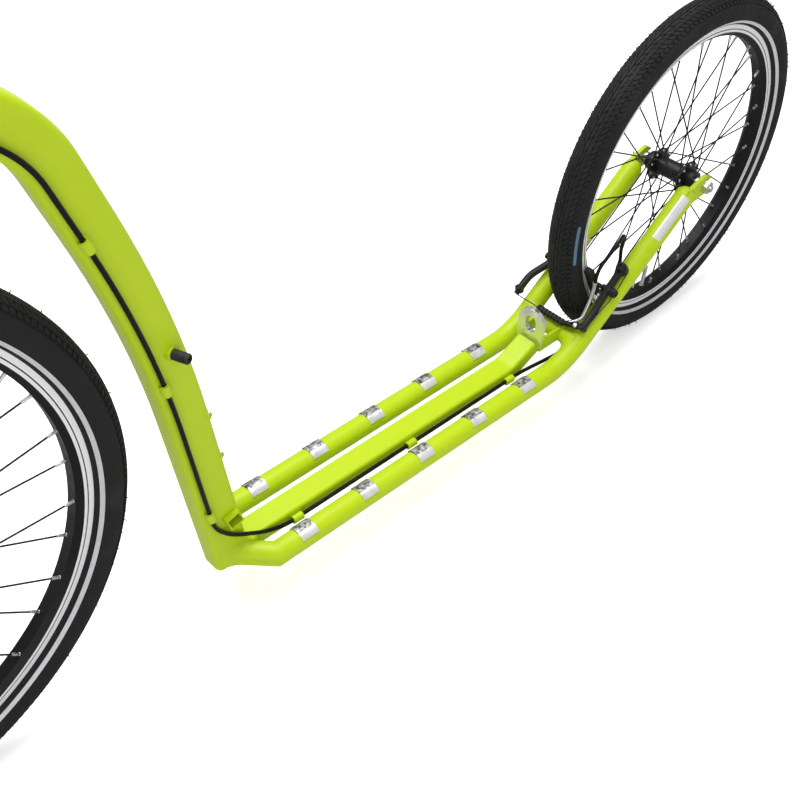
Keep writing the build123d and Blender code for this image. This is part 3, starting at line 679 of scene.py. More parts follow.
class Palette:
    """All finishes of the kick bike, built once."""

    def __init__(self) -> None:
        """Build the node groups and the plain finishes."""
        self.groups = Groups()
        # The lime's edge colour is a lighter lime: a painted highlight along its outer edges.
        lime = Finish(
            "lime_paint", (0.475, 0.635, 0.006), 0.36, rough_swing=0.05, tone_swing=0.025, coat=0.06,
            coat_roughness=0.2, specular=0.28, grain=900.0, bump=0.012, edge=0.0012, edge_wear_and_highlight=0.18,
            edge_wear_and_highlight_colour=(0.60, 0.75, 0.06),
        )
        self.paint = self.make(lime)
        self.weld_paint = self.make(replace(lime, name="weld_paint", edge=0.0, edge_wear_and_highlight=0.0))
        self.polished = self.make(Finish(
            "polished_aluminium", (0.86, 0.87, 0.86), 0.24, rough_swing=0.10, tone_swing=0.05, metallic=0.9,
            grain=500.0, bump=0.02, edge=0.0012, edge_wear_and_highlight=0.3, edge_wear_and_highlight_colour=(0.95, 0.95, 0.95),
        ))
        self.foil = self.make(PadFinish(
            "grip_foil", (0.80, 0.80, 0.79), 0.34, rough_swing=0.12, tone_swing=0.10, metallic=0.55,
            grain=1400.0, bump=0.05, edge=0.0004,
        ))
        self.label = self.make(Finish(
            "blank_label", (0.80, 0.81, 0.81), 0.30, tone_swing=0.04, metallic=0.35, coat=0.3, grain=700.0,
            bump=0.004, edge=0.0003,
        ))
        self.steel = self.make(Finish(
            "satin_steel", (0.66, 0.66, 0.67), 0.32, rough_swing=0.12, tone_swing=0.08, metallic=0.95,
            grain=800.0, bump=0.01, edge=0.0004,
        ))
        self.dark_steel = self.make(Finish(
            "dark_steel", (0.045, 0.045, 0.048), 0.34, rough_swing=0.10, tone_swing=0.15, metallic=0.7,
            grain=900.0, bump=0.01, edge=0.0003,
        ))
        self.black_metal = self.make(Finish(
            "black_metal", (0.009, 0.009, 0.010), 0.40, rough_swing=0.10, tone_swing=0.25, specular=0.32,
            grain=900.0, bump=0.015, edge=0.0007, edge_wear_and_highlight=0.35, edge_wear_and_highlight_colour=(0.10, 0.10, 0.105),
        ))
        self.tyre = self.make(TyreFinish(
            "tyre_rubber", (0.012, 0.012, 0.013), 0.70, rough_swing=0.10, tone_swing=0.25, specular=0.25,
            grain=1300.0, bump=0.05, edge=0.0003,
        ))
        self.stripe = self.make(Finish(
            "reflective_stripe", (0.62, 0.63, 0.64), 0.42, rough_swing=0.10, tone_swing=0.10, metallic=0.25,
            grain=1800.0, bump=0.02, edge=0.0002,
        ))
        self.tyre_mark = self.make(Finish(
            "blue_mark", (0.075, 0.17, 0.27), 0.55, tone_swing=0.12, grain=900.0, bump=0.01, edge=0.0002,
        ))
        self.rubber = self.make(Finish(
            "moulded_rubber", (0.022, 0.022, 0.023), 0.62, rough_swing=0.10, tone_swing=0.25, specular=0.4,
            grain=1500.0, bump=0.04, edge=0.0005,
        ))
        self.cable = self.make(Finish(
            "cable_housing", (0.004, 0.004, 0.005), 0.30, rough_swing=0.08, tone_swing=0.2, specular=0.22,
            grain=600.0, bump=0.008, edge=0.0002,
        ))

    def make(self, finish: Finish) -> bpy.types.Material:
        """Material of one finish."""
        return finish.build(self.groups)


@dataclass
class Solids:
    """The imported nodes, their places and the finish that each slot gets."""

    frame: dict
    crease: float = 32.0

    def joint(self, name: str) -> dict:
        """Record of one joint."""
        return next(j for j in self.frame["joints"] if j["name"] == name)

    def axle(self, name: str) -> Vector:
        """Middle of the axle that a joint turns on."""
        return Vector(self.joint(name)["pos_m"])

    def surface(self, *nodes: str) -> BVHTree:
        """Ray-cast tree of some nodes.

        Args:
            nodes: Names of the nodes.

        Returns:
            Tree of all their faces.
        """
        points, faces = [], []
        for name in nodes:
            mesh = self.frame["nodes"][name].data
            start = len(points)
            points += [v.co.copy() for v in mesh.vertices]
            faces += [[start + i for i in p.vertices] for p in mesh.polygons]
        return BVHTree.FromPolygons(points, faces)

    def dress(self, palette: Palette, own: dict[str, bpy.types.Material]) -> None:
        """Give each node its finish and soft shading.

        Args:
            palette: Finishes by slot.
            own: Finishes of single nodes that differ from their slot.
        """
        by_slot = {
            Slot.PAINT: palette.paint, Slot.POLISHED: palette.polished, Slot.STEEL: palette.steel,
            Slot.BLACK_METAL: palette.black_metal, Slot.TYRE: palette.tyre, Slot.RUBBER: palette.rubber,
            Slot.CABLE: palette.cable,
        }
        for row in self.frame["record"]["subparts"]:
            obj = self.frame["nodes"][row["node"]]
            obj.data.polygons.foreach_set("use_smooth", [True] * len(obj.data.polygons))
            obj.data.set_sharp_from_angle(angle=math.radians(self.crease))
            material = own.get(row["node"], by_slot[Slot(row["material_slot"])])
            if not obj.material_slots:
                obj.data.materials.append(material)
            for slot in obj.material_slots:
                slot.material = material


@dataclass(frozen=True)
class Carrier:
    """Straight tube or axis in the middle plane that other pieces are placed from."""

    zero: Vector
    way: Vector
    facing: int = 1

    @property
    def up(self) -> Vector:
        """Direction square to the carrier, which facing turns to the other side."""
        return Y_AXIS.cross(self.way) * self.facing

    def at(self, s: float, up: float = 0.0, y: float = 0.0) -> Vector:
        """Point s along the carrier, then square to it and to the left, in millimetres."""
        return self.zero + (self.way * s + self.up * up + Y_AXIS * y) * MM


@dataclass
class Layout:
    """Lines of the frame and the fork, worked out from the joints; sizes in millimetres."""

    solids: Solids
    down_foot: Triple = (265.4, 0.0, -27.0)
    down_lean: float = 8.4
    tail: Triple = (-267.824, 0.0, -17.243)
    stay_over_axle: float = 14.0
    crown_reach: float = 338.5
    leg_half: float = 15.0

    @property
    def steering(self) -> Carrier:
        """Steering axis from beside the front axle upwards; up is forward."""
        joint = self.solids.joint("steering")
        return Carrier(Vector(joint["pos_m"]), Vector(joint["axis"]).normalized())

    @property
    def down(self) -> Carrier:
        """Straight part of the down tube from its foot upwards; up is forward."""
        lean = math.radians(self.down_lean)
        return Carrier(mm(*self.down_foot), Vector((math.sin(lean), 0, math.cos(lean))))

    @property
    def stays(self) -> Carrier:
        """Rear stays from beside the axle towards the deck.

        Returns:
            The middle line between both stays.
        """
        axle, over = self.solids.axle("rear_wheel_spin"), self.stay_over_axle * MM
        rise = axle - mm(*self.tail)
        slope = math.atan2(rise.z, -rise.x) + math.asin(over / rise.length)
        way = Vector((math.cos(slope), 0, -math.sin(slope)))
        return Carrier(axle + way.cross(Y_AXIS) * over, way, facing=-1)

    @property
    def legs(self) -> Carrier:
        """Fork legs from the front axle towards the crown; up is forward.

        Returns:
            The middle line between both legs.
        """
        axle, steering = self.solids.axle("front_wheel_spin"), self.steering
        offset = (axle - steering.zero).length / MM
        crown = steering.at(math.sqrt(self.crown_reach ** 2 - offset ** 2))
        return Carrier(axle, (crown - axle).normalized())


@dataclass
class TreadRow:
    """One row of tread blocks on each side of the crown."""

    middle: float
    half: float
    slant: float
    share: float
    phase: float
    split: int = 1


@dataclass
class Wheel:
    """Tyre, side mark, nipples, valve and rim finish of one wheel; sizes in millimetres."""

    name: str
    body: Body
    axle: Vector
    rim_r: float
    stripe_rise: float
    tyre_height: float = 40.35
    tyre_half: float = 22.9
    rim_depth: float = 17.0
    track_depth: float = 11.0
    bead_y: float = 9.8
    bead_lean: float = 138.0
    bead_sink: float = 2.0
    wall_dip: float = 0.4
    rib_pitch: float = 5.0
    tread_depth: float = 1.4
    stripe_half: float = 2.4
    pitch: float = 17.0
    segments: int = 240
    hairs: int = 460
    hair_clear: float = 10.0
    hair_lean: float = 72.0
    hair_bend: float = 0.35
    hair_length: tuple[float, float] = (2.6, 4.2)
    hair_r: Triple = (0.6, 0.5, 0.2)
    spokes: int = 36
    cross: int = 3
    hole_r: float = 20.0
    flange_span: float = 48.0
    lace_gap: float = 4.0
    spoke_sink: float = 1.0
    bed: float = 6.875
    rows: tuple[TreadRow, ...] = (
        TreadRow(6.5, 5.0, 0.35, 0.90, 0.0),
        TreadRow(19.5, 7.0, 0.55, 0.87, 0.35, split=2),
        TreadRow(35.5, 8.0, 0.40, 0.85, 0.10, split=2),
        TreadRow(51.5, 6.6, 0.10, 0.66, 0.45, split=2),
    )
    nipple: Profile = ((2.1, -0.5), (2.1, 1.6), (1.75, 2.0), (1.65, 10.5), (1.3, 11.6))
    spoke_head: Profile = ((2.3, -1.2), (2.3, 0.2), (1.7, 1.0), (0.7, 1.4))
    thread: tuple[int, float, float] = (14, 1.8, 1.3)
    track_ease: float = 0.4
    track_over: float = 1.0
    groove_depth: float = 6.8
    mark: tuple[float, float, float, float] | None = None
    mark_grid: tuple[int, int] = (6, 24)
    mark_skins: tuple[float, float] = (0.2, 0.9)

    @property
    def belly_r(self) -> float:
        """Radius of the middle of the casing."""
        return self.rim_r + self.tyre_height - self.tyre_half

    def on_casing(self, turn: float, lean: float, radius: float) -> Vector:
        """Point of the casing.

        Args:
            turn: Angle round the axle in radians.
            lean: Angle from the crown towards the left sidewall in radians.
            radius: Distance from the middle of the casing.

        Returns:
            The point in metres.
        """
        return self.axle + turned(turn, self.belly_r + radius * math.cos(lean), radius * math.sin(lean))

    def side_profile(self) -> list[tuple[float, float, int]]:
        """Half profile of the casing from the crown to the bead.

        Returns:
            Lean in degrees, radius in millimetres and material index of each point.
        """
        stripe = math.degrees(math.acos((self.rim_r + self.stripe_rise - self.belly_r) / self.tyre_half))
        wide = math.degrees(self.stripe_half / self.tyre_half)
        full, cut = self.tyre_half, self.tyre_half - self.tread_depth
        wall = full - self.wall_dip
        rows = [(lean, cut, 0) for lean in range(0, 60, 6)]
        rows += [(60.0, cut, 0), (63.5, full - 0.5, 0), (66.0, full - 0.25, 0), (72.0, wall, 0)]
        rows += [(lean, wall, 0) for lean in range(80, int(stripe - wide - 2), 7)]
        rows += [(stripe - wide - 0.8, wall, 0), (stripe - wide, full - 0.1, 1)]
        rows += [(stripe + wide, full - 0.1, 0), (stripe + wide + 0.8, wall, 0)]
        at = stripe + wide + 4.0
        while at + self.rib_pitch < self.bead_lean:
            rows += [(at, wall, 0), (at + 1.2, full + 0.1, 0), (at + 2.4, wall, 0)]
            at += self.rib_pitch
        rows.append((self.bead_lean, full - 0.3, 0))
        return rows

    def build(self, palette: Palette) -> list[bpy.types.Object]:
        """Build every piece in order.

        Args:
            palette: Finishes.

        Returns:
            The pieces.
        """
        pieces = [self.build_tyre(palette)]
        if self.mark:
            pieces.append(self.build_mark(palette))
        return pieces + [self.build_nipples(palette), self.build_valve(palette)]

    def build_tyre(self, palette: Palette) -> bpy.types.Object:
        """Casing with a reflective stripe, tread blocks and moulding hairs.

        Args:
            palette: Finishes.

        Returns:
            The tyre, which stands for the plain tyre solid.
        """
        shaper = Shaper()
        half = self.side_profile()
        ring = [(-lean, radius, index) for lean, radius, index in reversed(half[1:])] + half
        bead_r = self.rim_r - self.bead_sink
        columns = []
        for i in range(self.segments):
            turn = math.tau * i / self.segments
            column = [self.on_casing(turn, math.radians(lean), radius) for lean, radius, _ in ring]
            column = [self.axle + turned(turn, bead_r, -self.bead_y)] + column
            column.append(self.axle + turned(turn, bead_r, self.bead_y))
            columns.append([shaper.bm.verts.new(p) for p in column])
        count = len(columns[0])
        for i in range(self.segments):
            this, after = columns[i], columns[(i + 1) % self.segments]
            for k in range(count):
                beyond = (k + 1) % count
                position = k - 1 - (len(half) - 1)
                mirrored = -position - 1
                place = position if position >= 0 else mirrored
                shaper.material = half[place][2] if 0 <= place < len(half) else 0
                shaper.face((this[k], this[beyond], after[beyond], after[k]))
        shaper.material = 0
        self._blocks(shaper)
        self._hairs(shaper)
        rubbers = [palette.tyre, palette.stripe]
        tyre = shaper.piece(f"{self.name}_tyre_dressed", self.body, Slot.TYRE, rubbers, 28.0)
        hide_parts(f"{self.name}_tyre")
        return tyre

    def _blocks(self, shaper: Shaper) -> None:
        """Rows of slanted tread blocks on both sides of the crown.

        Args:
            shaper: Faces of the tyre.
        """
        count = round(math.tau * (self.rim_r + self.tyre_height) / self.pitch)
        step = math.tau / count
        full, foot = self.tyre_half, self.tyre_half - self.tread_depth - 0.4
        ease = 0.45 / full
        for side in BOTH:
            for row in self.rows:
                low, high = math.radians(row.middle - row.half), math.radians(row.middle + row.half)
                shift = row.phase + (0.5 if side < 0 else 0.0)
                part = row.share / row.split
                for index in range(count * row.split):
                    start = (index + shift) * step / row.split
                    end = start + part * step
                    lean = row.slant * step
                    corners = [(start, low), (end, low), (end + lean, high), (start + lean, high)]
                    self._block(shaper, corners, side, full, foot, ease)

    def _block(
        self, shaper: Shaper, corners: list[tuple[float, float]], side: int, full: float, foot: float,
        ease: float,
    ) -> None:
        """One tread block with eased upper edges.

        Args:
            shaper: Faces of the tyre.
            corners: Turn and lean of the four corners.
            side: 1 on the left of the crown, -1 on the right.
            full: Radius of the block's top.
            foot: Radius of its foot inside the casing.
            ease: Inset of the top as an angle of the casing.
        """
        turn_mid = sum(c[0] for c in corners) / 4
        lean_mid = sum(c[1] for c in corners) / 4
        inset = ease * full / (self.rim_r + self.tyre_height)
        rings = []
        for radius, factor in ((foot, 0.0), (full - 0.35, 0.0), (full, 1.0)):
            ring = []
            for turn, lean in corners:
                u = turn + math.copysign(inset, turn_mid - turn) * factor
                v = lean + math.copysign(ease, lean_mid - lean) * factor
                ring.append(self.on_casing(u, side * v, radius))
            rings.append(ring)
        shaper.strip(rings)

    def _hairs(self, shaper: Shaper) -> None:
        """Short moulding hairs all over the tread, apart from where the tyre reaches furthest.

        Args:
            shaper: Faces of the tyre.
        """
        draw = random.Random(len(self.name) * 7)
        for _ in range(self.hairs):
            turn = draw.uniform(0, math.tau)
            if abs((math.degrees(turn) + 45) % 90 - 45) < self.hair_clear:
                continue
            lean = math.radians(draw.uniform(-self.hair_lean, self.hair_lean))
            foot = self.on_casing(turn, lean, self.tyre_half - 0.8)
            out = (foot - self.on_casing(turn, lean, 0.0)).normalized()
            bend = Vector([draw.uniform(-1, 1) for _ in range(3)]) * self.hair_bend
            tip = foot + (out + bend).normalized() * (draw.uniform(*self.hair_length) * MM)
            shaper.tube([foot, (foot + tip) / 2, tip], list(self.hair_r), sides=4)

    def build_mark(self, palette: Palette) -> bpy.types.Object:
        """Plain coloured mark on the left sidewall.

        Args:
            palette: Finishes.

        Returns:
            The mark.
        """
        start, end, low, high = (math.radians(v) for v in self.mark)
        skins = []
        across, around = self.mark_grid
        for depth in self.mark_skins:
            radius = self.tyre_half - depth
            rows = [low + (high - low) * i / across for i in range(across + 1)]
            turns = [start + (end - start) * k / around for k in range(around + 1)]
            skins.append([[self.on_casing(turn, lean, radius) for turn in turns] for lean in rows])
        shaper = Shaper()
        shaper.plate(*skins)
        return shaper.piece(f"{self.name}_tyre_mark", self.body, Slot.TYRE, [palette.tyre_mark], 50.0)

    def spoke_ends(self) -> list[tuple[Vector, Vector, float]]:
        """Places where the spokes end.

        Returns:
            Rim end and hub end in metres, and the side that the head is on, for each spoke.
        """
        step = math.tau / self.spokes
        ends = []
        for index in range(self.spokes):
            flange = 1 if index % 2 else -1
            lead = 1 if index // 2 % 2 else -1
            turn = step * index
            hub_turn = turn + lead * self.cross * 2 * step
            hub_y = flange * (self.flange_span + lead * self.lace_gap) / 2
            rim_r = self.rim_r - self.rim_depth + self.spoke_sink
            rim = self.axle + turned(turn, rim_r, flange * self.bed / 2)
            ends.append((rim, self.axle + turned(hub_turn, self.hole_r, hub_y), lead * flange))
        return ends

    def build_nipples(self, palette: Palette) -> bpy.types.Object:
        """Spoke nipples at the rim and spoke heads on the flanges.

        Args:
            palette: Finishes.

        Returns:
            The joined nipples and heads.
        """
        shaper = Shaper()
        for rim, hub, outside in self.spoke_ends():
            way = (hub - rim).normalized()
            shaper.lathe(rim, way, self.nipple, sides=10)
            shaper.lathe(hub, Y_AXIS * outside, self.spoke_head, sides=10)
        return shaper.piece(f"{self.name}_nipples", self.body, Slot.STEEL, [palette.steel])

    def build_valve(self, palette: Palette) -> bpy.types.Object:
        """Threaded tyre valve with a lock ring and a cap, in place of the plain valve.

        Args:
            palette: Finishes.

        Returns:
            The valve.
        """
        low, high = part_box(f"{self.name}_valve")
        middle = (low + high) / 2
        way = (self.axle - middle).normalized()
        foot = self.axle - way * ((self.rim_r - self.rim_depth) * MM)
        shaper = Shaper()
        profile = [(3.6, -0.3), (3.6, 1.2), (2.9, 1.5)]
        turns, start, pitch = self.thread
        for turn in range(turns):
            at = start + turn * pitch
            profile += [(2.9, at), (2.55, at + pitch / 2)]
        profile += [(2.6, 20.6), (3.0, 21.0), (3.0, 31.6), (2.4, 33.4), (1.2, 34.0)]
        shaper.lathe(foot, way, profile, sides=20)
        valve = shaper.piece(f"{self.name}_valve_dressed", self.body, Slot.STEEL, [palette.steel])
        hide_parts(f"{self.name}_valve")
        return valve

    def rim_finish(self) -> RimFinish:
        """Black rim with its bare brake track.

        Returns:
            The finish of this wheel's rim.
        """
        return RimFinish(
            f"{self.name}_rim_finish", (0.006, 0.006, 0.007), 0.40, rough_swing=0.06, tone_swing=0.2,
            specular=0.2, grain=900.0, bump=0.01, edge=0.0006, axle=(self.axle.x, self.axle.z),
            track=(
                (self.rim_r - self.track_depth + self.track_ease) * MM, (self.rim_r + self.track_over) * MM
            ),
            grooves=((self.rim_r - self.groove_depth) * MM,),
        )


@dataclass
class Welding:
    """Smooth painted weld fillets where tubes meet; sizes in millimetres."""

    solids: Solids
    reach: float = 6.0
    ripple: float = 0.05
    ripple_length: float = 3.0
    rows: int = 6
    cast: float = 250.0
    fewest: int = 8
    shaper: Shaper = field(default_factory=Shaper)

    def along(self, carriers: tuple[str, ...], outline: list[Vector], way: Vector) -> None:
        """Lay a hollow-faced bead where a tube's outline meets its carriers.

        Args:
            carriers: Nodes that the tube is welded to.
            outline: Closed outline of the tube, before the joint.
            way: Direction from the outline to the carriers.
        """
        tree = self.solids.surface(*carriers)
        middle = sum(outline, Vector()) / len(outline)
        rings, run, last = [], 0.0, None
        for point in outline:
            hit, normal, _, _ = tree.ray_cast(point, way, self.cast * MM)
            if hit is None:
                continue
            run += (hit - last).length if last else 0.0
            last = hit
            radial = point - middle
            out = (radial - normal * radial.dot(normal)).normalized()
            wave = 1 + self.ripple * math.sin(math.tau * run / (self.ripple_length * MM))
            rings.append(self._section(tree, hit, out, -way, self.reach * wave * MM))
        if len(rings) > self.fewest:
            self.shaper.strip(rings, closed=True)

    def _section(
        self, tree: BVHTree, corner: Vector, out: Vector, back: Vector, reach: float
    ) -> list[Vector]:
        """Points of one cut through a bead, from the carrier's skin to the tube's.

        Args:
            tree: Surface of the carriers.
            corner: Point where the two skins meet.
            out: Direction over the carrier, away from the tube.
            back: Direction along the tube, away from the carrier.
            reach: Length of the bead on both skins in metres.

        Returns:
            The points, with one inside the joint to close the cut.
        """
        points = []
        for k in range(self.rows + 1):
            angle = math.pi / 2 * k / self.rows
            over, along = reach * (1 - math.sin(angle)), reach * (1 - math.cos(angle))
            points.append(corner + out * over + back * along)
        foot = tree.find_nearest(points[0])[0]
        slip = foot - points[0]
        for k, point in enumerate(points):
            points[k] = point + slip * (1 - k / self.rows) ** 2
        inside = corner - (out + back) * (0.25 * reach)
        return points + [inside]

    @staticmethod
    def circle(middle: Vector, way: Vector, radius: float, count: int = 90) -> list[Vector]:
        """Circle of points round a direction.

        Args:
            middle: Middle in metres.
            way: Direction that the circle faces.
            radius: Radius in millimetres.
            count: Number of points.

        Returns:
            The points in order.
        """
        way = way.normalized()
        first = way.orthogonal().normalized()
        second = way.cross(first)
        return [
            middle + (first * math.cos(a) + second * math.sin(a)) * (radius * MM)
            for a in (math.tau * k / count for k in range(count))
        ]

    @staticmethod
    def oblong(
        middle: Vector, across: Vector, along: Vector, width: float, depth: float, corner: float
    ) -> list[Vector]:
        """Rounded rectangle of points.

        Args:
            middle: Middle in metres.
            across: Direction of the width.
            along: Direction of the depth.
            width: Width in millimetres.
            depth: Depth in millimetres.
            corner: Corner radius in millimetres.

        Returns:
            The points in order, about 2 mm apart.
        """
        points = []
        for quarter, (sx, sy) in enumerate(((1, 1), (-1, 1), (-1, -1), (1, -1))):
            cx, cy = sx * (width / 2 - corner), sy * (depth / 2 - corner)
            for k in range(9):
                angle = math.pi / 2 * (quarter + k / 8)
                x, y = cx + corner * math.cos(angle), cy + corner * math.sin(angle)
                points.append(middle + across * (x * MM) + along * (y * MM))
        dense = []
        for a, b in zip(points, points[1:] + points[:1]):
            pieces = max(1, round((b - a).length / (2 * MM)))
            dense += [a.lerp(b, k / pieces) for k in range(pieces)]
        return dense


@dataclass
class Chassis:
    """Welds, bolts, peg, label, cable and bracket paint of the frame; sizes in millimetres."""

    layout: Layout
    neck_rise: float = 22.0
    tube_half: float = 14.25
    half_span: float = 45.4
    nose: Triple = (243.4, 32.0, -11.6)
    head_mid: float = 431.0
    bridge: tuple[float, float] = (-296.0, 8.0)
    peg: Triple = (313.73, 16.0, 315.98)
    peg_lean: float = 22.0
    bosses: tuple[float, ...] = (162.0, 226.0)
    boss_front: float = -27.5
    socket: tuple[float, float] = (266.059, 52.759)
    socket_turn: float = 18.0
    socket_side: float = 19.0
    plate_back: float = -254.0
    label: tuple[float, float, float, float] = (33.0, 103.0, 26.0, 76.0)
    label_grid: tuple[int, int] = (10, 26)
    neck_outline: Triple = (32.0, 47.0, 8.0)
    neck_back: float = 120.0
    nose_reach: float = 12.0
    bridge_r: float = 12.5
    bridge_reach: float = 9.0
    bar_start: Triple = (200.0, 0.0, -10.8)
    bar_way: Triple = (1.0, 0.0, 0.011)
    bar_outline: Triple = (31.0, 22.0, 4.0)
    bar_reach: float = 4.0
    socket_end: float = 22.5
    socket_corner: float = 0.6
    socket_reach: float = 2.5
    boss_r: float = 5.5
    boss_back: float = 4.0
    boss_reach: float = 1.6
    boss_bolt: Head = (4.2, 2.6)
    peg_collar: Profile = ((7.2, -3.0), (7.2, 1.6), (6.6, 2.4), (5.2, 2.4))
    label_skins: tuple[float, float] = (0.22, -0.1)
    cable: tuple[tuple[float, float, float, float], ...] = (
        (481.90, 20.1, 604.66, 0.0), (419.73, 20.1, 579.54, 116.0), (334.56, 20.1, 345.55, 1286.0),
        (291.96, 20.1, 57.00, 55.0), (271.00, 20.0, 30.20, 100.0), (224.90, 19.8, 0.20, 120.0),
        (194.90, 19.6, -10.76, 60.0), (-214.84, 19.6, -15.40, 200.0),
        (-288.00, 25.0, -20.00, 70.0), (-319.28, 38.0, -2.16, 110.0), (-370.74, 39.0, 37.56, 60.0),
        (-399.40, 25.0, 69.16, 25.0), (-396.97, 23.0, 100.12, 30.0), (-387.28, 30.0, 135.59, 16.0),
        (-360.45, 40.0, 137.62, 18.0), (-326.60, 38.0, 109.50, 30.0), (-325.54, 38.0, 89.52, 0.0),
    )

    @property
    def peg_way(self) -> Vector:
        """Direction of the peg, to the left and a little back."""
        lean = math.radians(self.peg_lean)
        return Vector((-math.sin(lean), math.cos(lean), 0))

    def build(self, palette: Palette) -> list[bpy.types.Object]:
        """Build every piece in order.

        Args:
            palette: Finishes.

        Returns:
            The pieces.
        """
        return [
            self.build_welds(palette), self.build_bolts(palette), self.build_peg(palette),
            self.build_collar(palette), self.build_label(palette), self.build_cable(palette),
        ]

    def build_welds(self, palette: Palette) -> bpy.types.Object:
        """Beads round the frame's joints, in the paint of the tubes.

        Args:
            palette: Finishes.

        Returns:
            The joined beads.
        """
        weld, down = Welding(self.layout.solids), self.layout.down
        slope = math.radians(self.neck_rise)
        neck = Vector((math.cos(slope), 0, math.sin(slope)))
        upright = Vector((-neck.z, 0, neck.x))
        start = self.layout.steering.at(self.head_mid) - neck * (self.neck_back * MM)
        weld.along(("head_tube",), weld.oblong(start, Y_AXIS, upright, *self.neck_outline), neck)
        weld.reach = self.nose_reach
        for side in BOTH:
            way = Vector((1, -side, 0)).normalized()
            nose = mm(self.nose[0], side * self.nose[1], self.nose[2])
            weld.along(("down_tube", "centre_bar"), weld.circle(nose, way, self.tube_half), way)
        weld.reach = self.bridge_reach
        for side in BOTH:
            bridge = mm(self.bridge[0], 0, self.bridge[1])
            node = "side_tube_left" if side > 0 else "side_tube_right"
            weld.along((node,), weld.circle(bridge, Y_AXIS * side, self.bridge_r), Y_AXIS * side)
        weld.reach = self.bar_reach
        way = Vector(self.bar_way).normalized()
        start = weld.oblong(mm(*self.bar_start), Y_AXIS, Vector((0, 0, 1)), *self.bar_outline)
        weld.along(("down_tube",), start, way)
        weld.reach = self.socket_reach
        turn = math.radians(self.socket_turn)
        across = Vector((math.cos(turn), 0, -math.sin(turn)))
        along = Vector((math.sin(turn), 0, math.cos(turn)))
        for side in BOTH:
            middle = mm(self.socket[0], side * self.socket_end, self.socket[1])
            start = weld.oblong(middle, across, along, self.socket_side, self.socket_side, self.socket_corner)
            weld.along(("down_tube",), start, Y_AXIS * -side)
        weld.reach = self.boss_reach
        for rise in self.bosses:
            start = weld.circle(down.at(rise, self.boss_front - self.boss_back), -down.up, self.boss_r, 40)
            weld.along(("down_tube",), start, down.up)
        return weld.shaper.piece("frame_welds", Body.FRAME, Slot.PAINT, [palette.weld_paint], 60.0)

    def build_bolts(self, palette: Palette) -> bpy.types.Object:
        """Bolts in the bottle bosses.

        Args:
            palette: Finishes.

        Returns:
            The joined bolts.
        """
        shaper, down = Shaper(), self.layout.down
        for rise in self.bosses:
            shaper.bolt(down.at(rise, self.boss_front), -down.up, *self.boss_bolt)
        return shaper.piece("frame_bolts", Body.FRAME, Slot.STEEL, [palette.steel])

    def build_peg(self, palette: Palette) -> bpy.types.Object:
        """Ribbed peg with a hollow end.

        Args:
            palette: Finishes.

        Returns:
            The peg, which stands for the plain one.
        """
        shaper = Shaper()
        profile = [(5.0, -1.5), (5.0, 2.6), (5.5, 3.0)]
        for k in range(5):
            at = 4.0 + k * 2.6
            profile += [(5.5, at), (5.25, at + 0.5), (5.5, at + 1.0)]
        profile += [(5.5, 18.8), (4.7, 20.0), (3.0, 20.0), (2.6, 16.5)]
        socket = (len(profile) - 2, len(profile) - 1)
        shaper.lathe(mm(*self.peg), self.peg_way, profile, sides=28, hexed=socket)
        peg = shaper.piece("side_peg_dressed", Body.FRAME, Slot.RUBBER, [palette.rubber])
        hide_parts("side_peg")
        return peg

    def build_collar(self, palette: Palette) -> bpy.types.Object:
        """Painted collar that the peg stands in.

        Args:
            palette: Finishes.

        Returns:
            The collar.
        """
        shaper = Shaper()
        shaper.lathe(mm(*self.peg), self.peg_way, self.peg_collar, sides=28)
        return shaper.piece("side_peg_collar", Body.FRAME, Slot.PAINT, [palette.paint])

    def build_label(self, palette: Palette) -> bpy.types.Object:
        """Blank label on the outer upper side of the left rear stay.

        Args:
            palette: Finishes.

        Returns:
            The label.
        """
        stays = self.layout.stays
        start, end, low, high = self.label
        rows, columns = self.label_grid
        skins = []
        for lift in self.label_skins:
            radius = self.tube_half + lift
            grid = []
            for i in range(rows + 1):
                a = math.radians(low + (high - low) * i / rows)
                up, y = radius * math.sin(a), self.half_span + radius * math.cos(a)
                steps = (start + (end - start) * k / columns for k in range(columns + 1))
                grid.append([stays.at(s, up, y) for s in steps])
            skins.append(grid)
        shaper = Shaper()
        shaper.plate(*skins)
        return shaper.piece("stay_label", Body.FRAME, Slot.POLISHED, [palette.label], 50.0)

    def build_cable(self, palette: Palette) -> bpy.types.Object:
        """Rear brake cable from the head's guide to the noodle.

        Args:
            palette: Finishes.

        Returns:
            The cable, which stands for the plain one.
        """
        path = rounded_route(self.cable)
        LOG.info("rear cable %.3f m", sum((b - a).length for a, b in zip(path, path[1:])))
        shaper = Shaper()
        shaper.tube(path, CABLE_R, sides=16)
        cable = shaper.piece("rear_cable_dressed", Body.FRAME, Slot.CABLE, [palette.cable])
        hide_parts("rear_cable")
        return cable

    def paint_cheeks(self, palette: Palette) -> None:
        """Paint the bracket's cheeks like the tubes; its plate stays bare.

        Args:
            palette: Finishes.
        """
        mesh = self.layout.solids.frame["nodes"]["rear_bracket"].data
        mesh.materials.append(palette.paint)
        for face in mesh.polygons:
            if face.center.x < (self.plate_back - 0.5) * MM:
                face.material_index = 1


